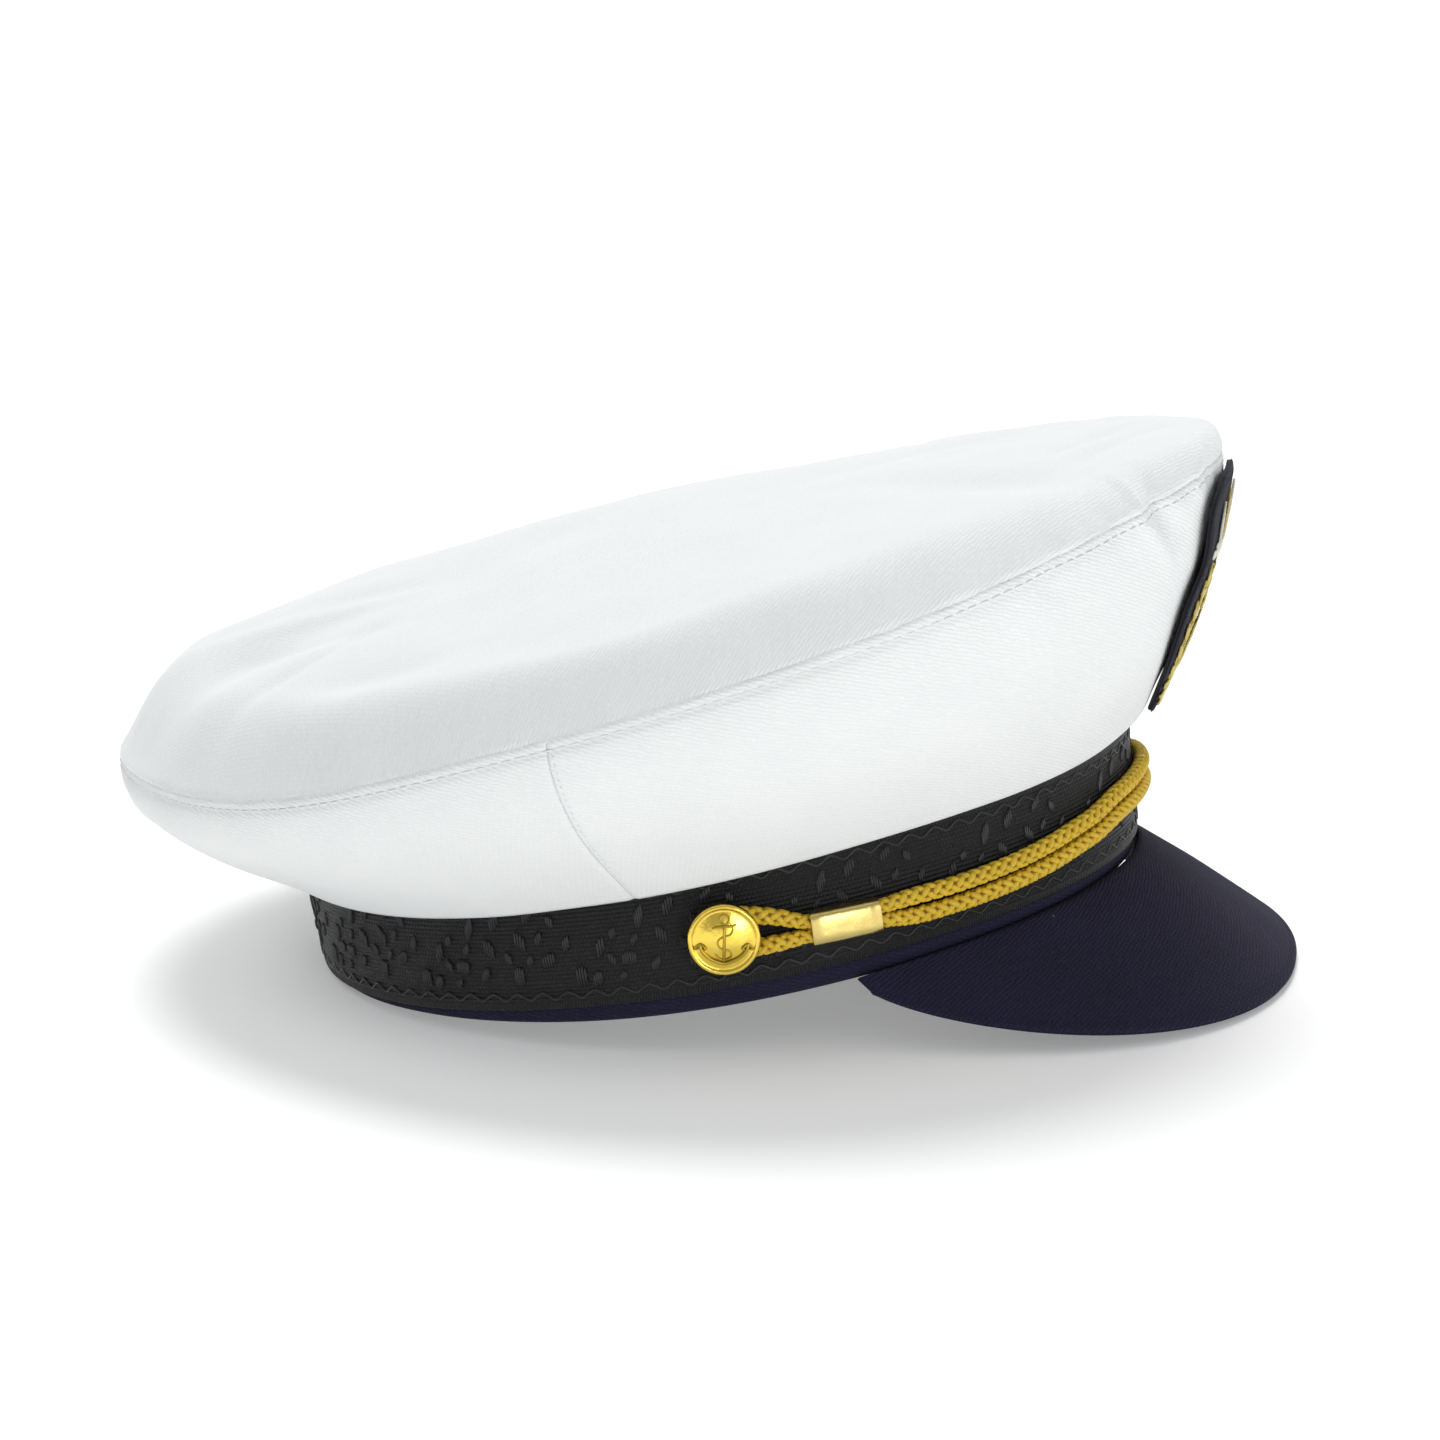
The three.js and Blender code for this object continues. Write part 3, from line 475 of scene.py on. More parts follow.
def threadFinish(name, dark, light, roughness, metallic=0.0, fibres=9, twist=3.0):
    # spun thread on a pad's own UV map, which runs round and then along it
    finish, tree, shader = startFinish(name, light, roughness, Metallic=metallic)
    _, turned, along = marksOf(tree)
    spun = waveOf(tree, calc(tree, "MULTIPLY_ADD", along, twist / fibres, turned), 1 / fibres)
    cloud = noiseOf(tree, put(tree, "ShaderNodeTexCoord").outputs["Object"], 420, 2.0)
    # colour: the grooves between fibres painted darker as shade and the fibre tops lighter, mixed with
    # random cloudy tone
    tint(tree, shader, weigh(tree, spun, 0.5, cloud, 0.6), dark, light)
    emboss(tree, shader, spun, 0.5, 0.00012)
    return finish


# each thread's dark colour is the painted shade of the grooves between its fibres
whiteThread = threadFinish("whiteThread", (0.80, 0.81, 0.81), (0.9, 0.9, 0.9), 0.7)
navyThread = threadFinish("navyThread", (0.004, 0.004, 0.011), (0.018, 0.017, 0.035), 0.75)
# a darker copy of the gold braid for the cord's core: painted shade in the gaps between the lobes
paintedCordShade = threadFinish("paintedCordShade", (0.16, 0.085, 0.004), (0.30, 0.17, 0.01), 0.7)
goldBraid = threadFinish(
    "goldBraid", (0.50, 0.30, 0.010), (0.95, 0.66, 0.04), 0.44, fibres=16, twist=0.6)
goldThread = threadFinish("goldThread", (0.50, 0.37, 0.06), (0.86, 0.72, 0.22), 0.36, metallic=0.55)
silverThread = threadFinish(
    "silverThread", (0.55, 0.54, 0.48), (0.88, 0.87, 0.8), 0.36, metallic=0.5)
satinThread = threadFinish(
    "satinThread", (0.006, 0.006, 0.007), (0.032, 0.032, 0.036), 0.36, fibres=6, twist=0.5)

jacquard = {
    "rowPitch": 1.0, "pearlPitch": 0.95, "floatPitch": 0.62, "edgeFrom": 1.5, "edgeTo": 1.9,
    # dark is the painted shade of the weave's valleys, light the painted sheen of its tops
    "dark": (0.002, 0.002, 0.0022), "light": (0.02, 0.02, 0.022),
    "weaveShare": 0.6, "cloudShare": 0.5, "cloudHeight": 0.3, "relief": 0.0004,
}


def ribbonFinish():
    # rows of short pearl-like ribs, with upright floats along both edges
    finish, tree, shader = startFinish(
        "blackRibbon", (0.012, 0.012, 0.013), 0.5, **{"Specular IOR Level": 0.35})
    marks, across, up = marksOf(tree)
    row = calc(tree, "FLOOR", calc(tree, "MULTIPLY", up, 1 / jacquard["rowPitch"]))
    rib = waveOf(tree, up, jacquard["rowPitch"], -math.pi / 2)
    pearls = calc(tree, "MULTIPLY_ADD", row, jacquard["pearlPitch"] / 2, across)
    pearls = waveOf(tree, pearls, jacquard["pearlPitch"])
    ribs = calc(tree, "MULTIPLY", rib, calc(tree, "MULTIPLY_ADD", pearls, 0.5, 0.5))
    fromEdge = calc(tree, "MINIMUM", up, calc(tree, "SUBTRACT", band["ribbonWidth"], up))
    inside = put(tree, "ShaderNodeMapRange", {
        "Value": fromEdge, "From Min": jacquard["edgeFrom"], "From Max": jacquard["edgeTo"],
    }, interpolation_type="SMOOTHSTEP").outputs["Result"]
    floats = waveOf(tree, across, jacquard["floatPitch"])
    weave = calc(tree, "MULTIPLY_ADD", floats, calc(tree, "SUBTRACT", 1.0, inside),
                 calc(tree, "MULTIPLY", ribs, inside))
    cloud = noiseOf(tree, marks, 0.5)
    # colour: the valleys of ribs and floats painted dark as shade and their tops lighter as painted sheen,
    # mixed with random cloudy tone
    shade = weigh(tree, weave, jacquard["weaveShare"], cloud, jacquard["cloudShare"])
    tint(tree, shader, shade, jacquard["dark"], jacquard["light"])
    height = calc(tree, "MULTIPLY_ADD", cloud, jacquard["cloudHeight"], weave)
    emboss(tree, shader, height, 1.0, jacquard["relief"])
    return finish


def metalFinish(name, dark, light, roughness, brushed, dents):
    finish, tree, shader = startFinish(name, light, roughness, Metallic=1.0)
    marks, across, up = marksOf(tree)
    stretched = put(tree, "ShaderNodeCombineXYZ", {
        "X": calc(tree, "MULTIPLY", across, brushed), "Y": up})
    brush = noiseOf(tree, stretched.outputs["Vector"], 1.2, 4.0, 0.7)
    cloud = noiseOf(tree, marks, 0.35, 2.0)
    wear = noiseOf(tree, marks, 3.5, 5.0, 0.75)
    tint(tree, shader, weigh(tree, wear, 0.6, cloud, 0.45), dark, light)
    spread = calc(tree, "MULTIPLY_ADD", wear, 0.16, roughness - 0.08)
    wire(tree, spread, shader.inputs["Roughness"])
    emboss(tree, shader, weigh(tree, cloud, dents, brush, 0.25), 0.35, 0.0003)
    return finish


paleBrass = metalFinish(
    "paleBrass", (0.60, 0.44, 0.12), (0.88, 0.72, 0.28), roughness=0.26, brushed=6.0, dents=0.8)
# a darker copy of the button's gilt for its raised anchor: painted shade that makes the relief stand out
shadedGilt = metalFinish(
    "shadedGilt", (0.30, 0.22, 0.02), (0.62, 0.44, 0.06), roughness=0.32, brushed=1.0, dents=1.2)
giltMetal = metalFinish(
    "giltMetal", (0.78, 0.50, 0.05), (0.98, 0.76, 0.15), roughness=0.2, brushed=1.0, dents=1.2)


def feltFinish():
    finish, tree, shader = startFinish("navyFelt", (0.014, 0.014, 0.024), 0.95, **{"Sheen Weight": 0.05})
    place = put(tree, "ShaderNodeTexCoord").outputs["Object"]
    fuzz, cloud = noiseOf(tree, place, 2600, 4.0, 0.7), noiseOf(tree, place, 160, 2.0)
    tint(tree, shader, weigh(tree, fuzz, 0.7, cloud, 0.3), (0.002, 0.002, 0.005), (0.011, 0.011, 0.020))
    emboss(tree, shader, fuzz, 0.8, 0.0004)
    return finish


navyFelt = feltFinish()
blackRibbon = ribbonFinish()
print("finishes made")


# Camera, floor and light

view = {
    "place": (-0.76064, -0.16989, 0.23856), "aim": (0.0, -0.003415, 0.054935),
    "lens": 82.31, "sensor": 36.0, "roll": -0.775,
}


def lookFrom(place, aim):
    place = Vector(place)
    turn = (Vector(aim) - place).to_track_quat("-Z", "Y").to_matrix().to_4x4()
    return Matrix.Translation(place) @ turn


def makeCamera():
    data = bpy.data.cameras.new("camera")
    data.lens, data.sensor_width, data.clip_end = view["lens"], view["sensor"], 200
    scene.camera = addObject("camera", data)
    roll = Matrix.Rotation(math.radians(view["roll"]), 4, "Z")
    scene.camera.matrix_world = lookFrom(view["place"], view["aim"]) @ roll


light = {
    "worldStrength": 0.42, "worldColour": (0.965, 0.985, 1.0), "floorColour": (0.9, 0.9, 0.9),
    "floorShade": 0.985, "floorGlow": 0.22, "floorHalf": 40.0, "lampAim": (0, 0, 0.06),
    # one wide soft light from above and behind, and small soft fills from the camera's side
    "skyFrom": (0.5, 0.2, 1.0), "skyStrength": 2.45, "skyWidth": 32,
    "lamps": [
        {"place": (-1.1, -0.75, 0.16), "size": 0.3, "power": 2.9},
        {"place": (-0.5, -1.4, 0.25), "size": 0.4, "power": 1.2},
    ],
}


def makeLight():
    world = bpy.data.worlds.new("studio")
    world.use_nodes = True
    backing = world.node_tree.nodes["Background"]
    backing.inputs["Color"].default_value = (*light["worldColour"], 1)
    backing.inputs["Strength"].default_value = light["worldStrength"]
    scene.world = world
    data = bpy.data.lights.new("sky", "SUN")
    data.energy = light["skyStrength"]
    data.angle = math.radians(light["skyWidth"])
    turn = Vector(light["skyFrom"]).to_track_quat("Z", "Y").to_matrix().to_4x4()
    addObject("sky", data).matrix_world = turn
    for index, lamp in enumerate(light["lamps"]):
        data = bpy.data.lights.new(f"lamp{index}", "AREA")
        data.size, data.energy = lamp["size"], lamp["power"]
        addObject(f"lamp{index}", data).matrix_world = lookFrom(lamp["place"], light["lampAim"])


def makeFloor():
    pale, half = light["floorColour"], light["floorHalf"]
    finish, tree, shader = startFinish("paleFloor", pale, 0.9)
    cloud = noiseOf(tree, put(tree, "ShaderNodeTexCoord").outputs["Object"], 1.5, 2.0)
    tint(tree, shader, cloud, tuple(light["floorShade"] * value for value in pale), pale)
    shader.inputs["Emission Color"].default_value = (1, 1, 1, 1)
    shader.inputs["Emission Strength"].default_value = light["floorGlow"]
    mesh = bpy.data.meshes.new("floor")
    corners = [(-half, -half, 0), (half, -half, 0), (half, half, 0), (-half, half, 0)]
    mesh.from_pydata(corners, [], [(0, 1, 2, 3)])
    mesh.materials.append(finish)
    addObject("floor", mesh)


scene.view_settings.view_transform = "Standard"
makeCamera()
makeLight()
makeFloor()
print("studio set")


# Band

def bandPoint(angles, outset, height):
    angles, outset, height = np.broadcast_arrays(np.asarray(angles, float), outset, height)
    turn = np.radians(angles)
    lean = outset + band["flare"] * height / band["ribbonWidth"]
    forward = (band["depth"] / 2 + lean) * np.cos(turn)
    left = (band["width"] / 2 + lean) * np.sin(turn) * (1 - band["egg"] * np.cos(turn))
    return np.stack([left, -forward, height], -1)


def rimLine(angles):
    return band["rimWave"] * readAround(band["waveRound"], angles)


def ribbonLine(angles):
    return rimLine(angles) + band["strip"] * readAround(band["stripRound"], angles)


def ribbonTopLine(angles):
    return ribbonLine(angles) + band["ribbonWidth"]


def loopMarks(points, heights):
    # UV millimetres of a closed band: length round it, and the heights given for its rows
    lengths = lengthsAlong(closeUp(points))
    return np.stack(np.broadcast_arrays(lengths[:, None], closeUp(heights)[None, :]), -1)


def makeUnderBand():
    angles = np.arange(360.0)
    corner = 0.9
    outer = [(0, 1.0), (0, 0.5), (0, 0.15)]
    turn = np.radians(np.linspace(0, 180, 9))
    rim = [(-band["wall"] / 2 * (1 - math.cos(t)), -math.sin(t)) for t in turn]
    inner = [(-band["wall"], 0.15), (-band["wall"], 0.5), (-band["wall"], 1.0)]
    low = rimLine(angles) + corner
    high = ribbonTopLine(angles) - crown["hemTuck"]
    rows = [bandPoint(angles, outset, blend(low, high, share)) for outset, share in outer]
    rows += [bandPoint(angles, outset, low + corner * drop) for outset, drop in rim]
    rows += [bandPoint(angles, outset, blend(low, high, share)) for outset, share in inner]
    sections = np.stack(rows, 1)
    sections = sections + softField(sections, 22, 5)[..., None] * 0.05 * unit(sections * [1, 1, 0])
    world = toWorld(sections)
    world[..., 2] = np.maximum(world[..., 2], 0)
    marks = loopMarks(sections[:, 1], -lengthsAlong(sections[0]))
    return buildSolid("underBand", world, marks, navyTwill)


ribbon = {
    "rows": 14, "zigzagPitch": 6.2, "zigzagRise": 0.85, "zigzagInset": 3.2, "zigzagThickness": 0.5,
    "zigzagSharp": 0.96, "zigzagLevel": 0.05, "repeats": 15, "repeatLength": 40.0,
    "threadPitch": 0.55, "threadWidth": 0.58, "threadThickness": 0.75, "threadLevel": 0.14,
    "leafBow": 1.3, "leafRagged": 0.12,
    # satin leaves of one repeat: along and up (mm), how wide and tall, and the slant of their tops
    "leaves": [
        (0.0, 7.4, 2.4, 5.2, 0.0), (3.6, 6.6, 2.0, 3.6, 0.4), (5.2, 13.6, 1.9, 4.6, 0.9),
        (8.3, 16.6, 1.4, 2.6, 0.3), (11.2, 10.4, 3.2, 3.6, 0.0), (14.6, 19.6, 2.0, 5.0, 1.2),
        (18.9, 14.8, 2.3, 4.2, -0.8), (21.2, 21.2, 2.4, 4.2, 1.0), (25.4, 8.2, 2.2, 5.0, 0.0),
        (26.8, 16.2, 2.4, 4.4, -1.0), (29.6, 22.2, 2.4, 3.0, 0.8), (33.0, 11.6, 3.0, 3.4, 0.5),
        (34.6, 20.4, 1.5, 3.2, -0.4), (37.6, 15.2, 1.6, 3.6, 0.7), (7.4, 10.6, 1.6, 2.8, -0.5),
        (9.4, 6.6, 1.5, 2.2, 0.4), (12.9, 14.6, 1.5, 2.6, 0.6), (16.9, 8.6, 2.0, 3.0, 0.6),
        (23.4, 12.4, 1.4, 3.0, -0.4), (28.6, 11.8, 1.4, 2.4, 0.4), (31.4, 16.8, 1.6, 3.0, 0.6),
    ],
}


def makeRibbon():
    angles = np.arange(0, 360, 0.75)
    low = ribbonLine(angles)
    wall = band["ribbonWall"]
    face = np.linspace(0.012, 0.988, ribbon["rows"])
    rows = [(wall, share) for share in face]
    rows += [(wall * 0.75, 0.998), (wall * 0.3, 1.0), (0.0, 0.995)]
    rows += [(0.0, 0.5), (0.0, 0.005), (wall * 0.3, 0.0), (wall * 0.75, 0.002)]
    sections = np.stack([
        bandPoint(angles, band["gap"] + outset, low + band["ribbonWidth"] * share) for outset, share in rows
    ], 1)
    wobble = softField(sections[:, :1], 30, 8) * 0.1
    sections = sections + wobble[..., None] * unit(sections * [1, 1, 0])
    heights = np.array([share * band["ribbonWidth"] for _, share in rows])
    marks = loopMarks(sections[:, 5], heights)
    return buildSolid("ribbonBand", toWorld(sections), marks, blackRibbon)


ribbonRound = np.arange(0, 360, 0.25)
ribbonFace = band["gap"] + band["ribbonWall"]
ribbonLengths = lengthsAlong(bandPoint(np.append(ribbonRound, 360), ribbonFace, 14))


def onRibbon(along, up, out):
    # hat millimetres of a place on the ribbon's face: length round it, height above its edge
    along = np.asarray(along, float) % ribbonLengths[-1]
    angles = np.interp(along, ribbonLengths, np.append(ribbonRound, 360))
    return bandPoint(angles, ribbonFace + out, ribbonLine(angles) + up)


def makeZigzags():
    count = int(round(ribbonLengths[-1] / ribbon["zigzagPitch"]))
    along = np.linspace(0, ribbonLengths[-1], count * 10, endpoint=False)
    turn = along / ribbonLengths[-1] * count * 2 * math.pi
    sharp = ribbon["zigzagSharp"]
    swing = np.arcsin(np.sin(turn) * sharp) / math.asin(sharp) * ribbon["zigzagRise"]
    lines = [
        (onRibbon(along, middle + swing, ribbon["zigzagLevel"]), True, ribbon["zigzagThickness"] / 2)
        for middle in (ribbon["zigzagInset"], band["ribbonWidth"] - ribbon["zigzagInset"])]
    return drawTubes("ribbonZigzags", lines, satinThread, 6)


def makeLeaves():
    chance = np.random.default_rng(41)
    threads = []
    repeat = ribbonLengths[-1] / ribbon["repeats"]
    scale, ragged = repeat / ribbon["repeatLength"], ribbon["leafRagged"]
    for index in range(ribbon["repeats"]):
        for start, middle, wide, tall, slant in ribbon["leaves"]:
            count = max(2, int(round(wide / ribbon["threadPitch"])))
            for thread in range(count):
                place = (thread + 0.5) / count - 0.5
                bow = 1 - ribbon["leafBow"] * place * place
                threads.append((
                    index * repeat + start * scale + place * wide,
                    middle + place * slant * 2 + chance.uniform(-ragged, ragged), tall / 2 * bow))
    along, up, reach = np.array(threads).T
    level = ribbon["threadLevel"]
    low, high = onRibbon(along, up - reach, level), onRibbon(along, up + reach, level)
    outward = onRibbon(along, up, 1) - onRibbon(along, up, 0)
    return layPads(
        "ribbonLeaves", (low + high) / 2, high - low, outward, reach, satinThread,
        ribbon["threadThickness"], ribbon["threadWidth"])


keepPiece(makeUnderBand(), "navy_cloth", "under_band")
keepPiece(makeRibbon(), "black_ribbon", "ribbon_band")
keepPiece(makeZigzags(), "black_ribbon")
keepPiece(makeLeaves(), "black_ribbon")
print("band made")


# Crown

seams = {
    "gap": 0.06, "groove": 0.4, "grooveWidth": 0.75, "sideGroove": 0.28, "sideWidth": 0.6,
    "stitchInset": 2.3, "stitchDip": 0.34, "pitch": 3.1, "length": 2.3, "thickness": 0.46,
    "sidePitch": 1.7, "sideLength": 0.9, "sideThickness": 0.3, "sideInset": 0.55,
    "puckerRise": 0.3, "puckerReach": 9.0, "stitchTurn": 0.5, "stitchLift": 0.06,
    "sideLift": 0.02, "sideFirst": 16, "sideLast": -3, "lineStep": 0.8,
}
# Soft folds of the top: place and size in shares of the crown's half sizes, depth in mm
folds = [
    {"across": -0.45, "along": -0.62, "turn": 35, "length": 0.34, "width": 0.1, "depth": 3.3},
    {"across": -0.3, "along": -0.72, "turn": 25, "length": 0.3, "width": 0.08, "depth": -1.89},
    {"across": 0.38, "along": -0.6, "turn": -30, "length": 0.32, "width": 0.1, "depth": 2.83},
    {"across": -0.28, "along": 0.62, "turn": -35, "length": 0.26, "width": 0.07, "depth": 1.89},
    {"across": 0.3, "along": 0.58, "turn": 40, "length": 0.26, "width": 0.08, "depth": 1.7},
    {"across": -0.62, "along": -0.5, "turn": 48, "length": 0.2, "width": 0.03, "depth": 1.0},
]
# Sharper creases: height along the surface's normal (mm, negative sinks), width (mm) and points
# of angle and distance from the seam (mm, above it on the top, below it on the sides)
creaseShape = {"stops": 12, "near": 60, "taper": 0.7}
creases = [
    (1.1, 1.4, [(-22.5, 15), (-23.5, 8), (-24, 0), (-22, -5), (-19, -12), (-16, -20)]),
    (-1.3, 3.0, [(-18.5, 13), (-20.5, 6), (-20.5, 0), (-18, -6), (-14, -13)]),
    (-0.45, 2.6, [(-28, 11), (-28.5, 4), (-27, -5), (-24, -12)]),
    (0.9, 1.1, [(-6, 9), (-10.5, 3), (-12, -1), (-10.5, -7)]),
    (-0.7, 1.8, [(-3, 8), (-7.5, 2), (-8.5, -4)]),
    (0.6, 1.6, [(-27, 30), (-16, 33), (-7, 31), (2, 25), (12, 14)]),
    (-0.8, 3.0, [(-23, 25), (-13, 27), (-4, 25), (4, 18)]),
    (0.5, 1.4, [(-9, 44), (0, 38), (12, 27), (18, 16)]),
    (-0.6, 2.4, [(-14, 41), (-3, 37), (8, 29), (16, 20)]),
    (-0.7, 3.2, [(-36, 5), (-38, -4), (-36, -10)]),
    (0.8, 4.0, [(-155, 40), (-152, 55), (-147, 70), (-132, 80)]),
    (-1.0, 6.0, [(-163, 28), (-160, 46), (-158, 62), (-145, 84)]),
    (-0.8, 5.0, [(-149, 33), (-141, 45), (-131, 56), (-118, 64)]),
    (-1.0, 6.0, [(-120, 27), (-112, 31), (-103, 34)]),
    (0.6, 1.5, [(30, 16), (24, 8), (23, -1), (26, -9)]),
    (-0.7, 2.6, [(26, 14), (20, 6), (19, -2), (21, -9)]),
    (-1.0, 5.0, [(150, 30), (146, 44), (138, 58)]),
    (0.6, 3.5, [(118, 22), (126, 33), (137, 42)]),
    (-0.8, 4.5, [(66, 24), (58, 34), (46, 40)]),
]


def seamPoint(angles):
    turn = np.radians(angles)
    forward = (crown["depth"] / 2 * np.cos(turn) - crown["setback"]
               + crown["nose"] * readAround(crown["noseRound"], angles))
    height = crown["seamHeight"] * readAround(crown["seamRound"], angles)
    return np.stack([crown["width"] / 2 * np.sin(turn), -forward, height], -1)


def foldDepth(across, along):
    total = 0
    for fold in folds:
        turn = math.radians(fold["turn"])
        sideways, forward = across - fold["across"], along - fold["along"]
        lengthwise = (forward * math.cos(turn) + sideways * math.sin(turn)) / fold["length"]
        widthwise = (sideways * math.cos(turn) - forward * math.sin(turn)) / fold["width"]
        total = total + fold["depth"] * np.exp(-lengthwise ** 2 - widthwise ** 2)
    return total


def topPoint(angles, inward):
    seam = seamPoint(angles)
    middle = np.array([0, crown["setback"], crown["topHeight"]])
    roll = crown["seamHeight"] * readAround(crown["rollRound"], angles)
    soft = readAround(crown["softRound"], angles)
    rolled = 1 - np.minimum(inward / soft, 1)
    edge = (1 - rolled ** crown["rollCurve"]) ** readAround(crown["slantRound"], angles)
    dome = (inward + np.sin(inward * math.pi / 2)) / 2
    point = seam + (middle - seam) * inward[..., None]
    across = 2 * point[..., 0] / crown["width"]
    along = 2 * (crown["setback"] - point[..., 1]) / crown["depth"]
    point[..., 2] = (seam[..., 2] + seams["gap"] / 2 + roll * edge
                     + (middle[2] - seam[..., 2] - roll) * dome - edge * foldDepth(across, along))
    return point


def onCrown(angles, fromSeam):
    # places on the bare shape of the crown, above the seam (positive) or below it
    tops = topPoint(angles[:, None], np.tile(np.linspace(0, 0.9, 120), (len(angles), 1)))
    sides = panelSections(angles)[:, ::-1]
    upward, downward = lengthsAlong(tops, 1), lengthsAlong(sides, 1)
    places = []
    for index, reach in enumerate(fromSeam):
        line, lengths = (tops[index], upward[index]) if reach > 0 else (sides[index], downward[index])
        places.append(readColumns(abs(reach), lengths, line))
    return np.array(places)


def creaseRelief(grid):
    flat = grid.reshape(-1, 3)
    total = np.zeros(len(flat))
    for height, width, points in creases:
        stops = np.linspace(0, len(points) - 1, creaseShape["stops"] * len(points))
        course = onCrown(*throughPoints(points, stops).T)
        near = np.flatnonzero(
            np.linalg.norm(flat - course.mean(0), axis=1) < creaseShape["near"])
        away = np.linalg.norm(flat[near, None] - course[None], axis=2)
        part = (away.argmin(1) + 0.5) / len(course)
        taper = np.sin(math.pi * part) ** creaseShape["taper"]
        total[near] += height * taper * np.exp(-(away.min(1) / width) ** 2)
    return total.reshape(grid.shape[:-1])


def pucker(grid, fromSeam, seed):
    # small gathers that run off the seam and die away
    fade = np.exp(-fromSeam / seams["puckerReach"]) * (1 - np.exp(-fromSeam / 1.5))
    return softField(grid * [1, 1, 0.15], 8.5, seed) * seams["puckerRise"] * fade


def makeCrownTop():
    angles = np.arange(0, 360, crown["topTurn"])
    soft = readAround(crown["softRound"], angles)
    edgeParts = 1 - np.cos(np.linspace(0, 1, crown["edgeRows"], endpoint=False) * math.pi / 2)
    topParts = np.linspace(0, 1, crown["topRows"], endpoint=False)
    inward = np.concatenate([
        soft[:, None] * edgeParts[None, :],
        soft[:, None] + (1 - soft[:, None]) * topParts[None, :] ** 1.15,
    ], 1)
    grid = topPoint(angles[:, None], inward)
    fromSeam = lengthsAlong(grid, 1)
    centre = np.array([0, crown["setback"], 40])
    normal = normalsOf(grid, True, centre)
    fade = 1 - np.exp(-fromSeam / 14)
    relief = (softField(grid, 75, 3) * 0.7 + softField(grid, 30, 4) * 0.22) * fade
    relief += pucker(grid, fromSeam, 6) + creaseRelief(grid)
    relief -= seams["groove"] * np.exp(-(fromSeam / seams["grooveWidth"]) ** 2)
    grid = grid + relief[..., None] * normal
    inner = grid - crown["wall"] * normal
    sections = np.concatenate([grid[:, ::-1], inner], 1)
    apex = grid[:, -1].mean(0) + [0, 0, 0.05]
    poles = toWorld([apex, apex - [0, 0, crown["wall"]]])
    heading = unit((seamPoint(angles) - centre) * [1, 1, 0])[:, :2]
    fromApex = fromSeam[:, -1:] - fromSeam
    spread = heading[:, None, :] * fromApex[..., None]
    marks = closeUp(np.concatenate([spread[:, ::-1], spread], 1))
    return buildSolid("crownTop", toWorld(sections), marks, whiteTwill, loops=False, poles=poles)


sideRows = {
    "frontOut": [0, 0.12, 0.38, 0.62, 0.82, 0.95, 1], "frontUp": [0, 0.09, 0.27, 0.48, 0.69, 0.87, 1],
    "sideOut": [0, 0.22, 0.5, 0.76, 0.94, 1.01, 1], "sideUp": [0, 0.12, 0.29, 0.48, 0.69, 0.87, 1],
    "backOut": [0, 0.27, 0.53, 0.77, 0.94, 1.01, 1], "backUp": [0, 0.2, 0.34, 0.48, 0.61, 0.78, 1],
}


def panelSections(angles):
    # outer face of the side of the crown, (angles, rows), from the tucked hem up to the top seam
    top = ribbonTopLine(angles)
    lift = band["ribbonWidth"] * readAround(crown["liftRound"], angles)
    lip = crown["hemRise"]
    step = bandPoint(angles, crown["hemStep"], top + lift)
    over = bandPoint(angles, crown["hemLip"], top + lip + np.maximum(lift, 0) / crown["hemStep"])
    droop = bandPoint(angles, (crown["hemLip"] + crown["hemStep"]) / 2, top + lift / 2)
    hem = bandPoint(angles, 0, top - crown["hemTuck"] + band["gap"])
    rise = bandPoint(angles, 0, top + lip)
    seam = seamPoint(angles) - [0, 0, seams["gap"] / 2]
    facing = np.cos(np.radians(angles))
    front = np.where(facing > 0, facing ** 2, 0)
    back = np.where(facing < 0, facing ** 2, 0)
    side = 1 - front - back
    rows = []
    for index in range(len(sideRows["frontOut"])):
        out = sum(weight * sideRows[key][index]
                  for weight, key in ((front, "frontOut"), (side, "sideOut"), (back, "backOut")))
        up = sum(weight * sideRows[key][index]
                 for weight, key in ((front, "frontUp"), (side, "sideUp"), (back, "backUp")))
        point = step + (seam - step) * out[:, None]
        point[:, 2] = blend(step[:, 2], seam[:, 2], up)
        rows.append(point)
    places = np.linspace(0, len(rows) - 1, 43)
    wall = np.stack([throughPoints(column, places) for column in np.stack(rows, 1)])
    hemPlaces = np.linspace(0, 4, 15)[:-1]
    hemStops = np.stack([hem, rise, over, droop, step], 1)
    below = np.stack([readColumns(hemPlaces, range(5), stops) for stops in hemStops])
    return np.concatenate([below, wall], 1)


def panelRelief(angles, grid, edges):
    # seam grooves, gathers and soft unevenness, in millimetres along the normal
    fromHem = lengthsAlong(grid, 1)
    fromSeam = fromHem[:, -1:] - fromHem
    fade = (1 - np.exp(-fromSeam / 10)) * (1 - np.exp(-np.maximum(fromHem - 9, 0) / 12))
    relief = (softField(grid, 60, 12) * 0.55 + softField(grid, 24, 13) * 0.16) * fade
    relief += pucker(grid, fromSeam, 14) + creaseRelief(grid)
    relief -= seams["groove"] * np.exp(-(fromSeam / seams["grooveWidth"]) ** 2)
    relief -= seams["stitchDip"] * np.exp(-((fromSeam - seams["stitchInset"]) / 0.55) ** 2)
    for edge in edges:
        away = np.radians(np.abs(angles - edge))[:, None] * np.hypot(grid[..., 0], grid[..., 1])
        sinking = seams["sideGroove"] * np.exp(-(away / seams["sideWidth"]) ** 2)
        relief -= sinking * (1 - np.exp(-np.maximum(fromHem - 6, 0) / 3))
    return relief


def panelGrid(angles, edges):
    grid = panelSections(angles)
    normal = normalsOf(grid, False, np.array([0, crown["setback"], 60]))
    return grid + panelRelief(angles, grid, edges)[..., None] * normal, normal


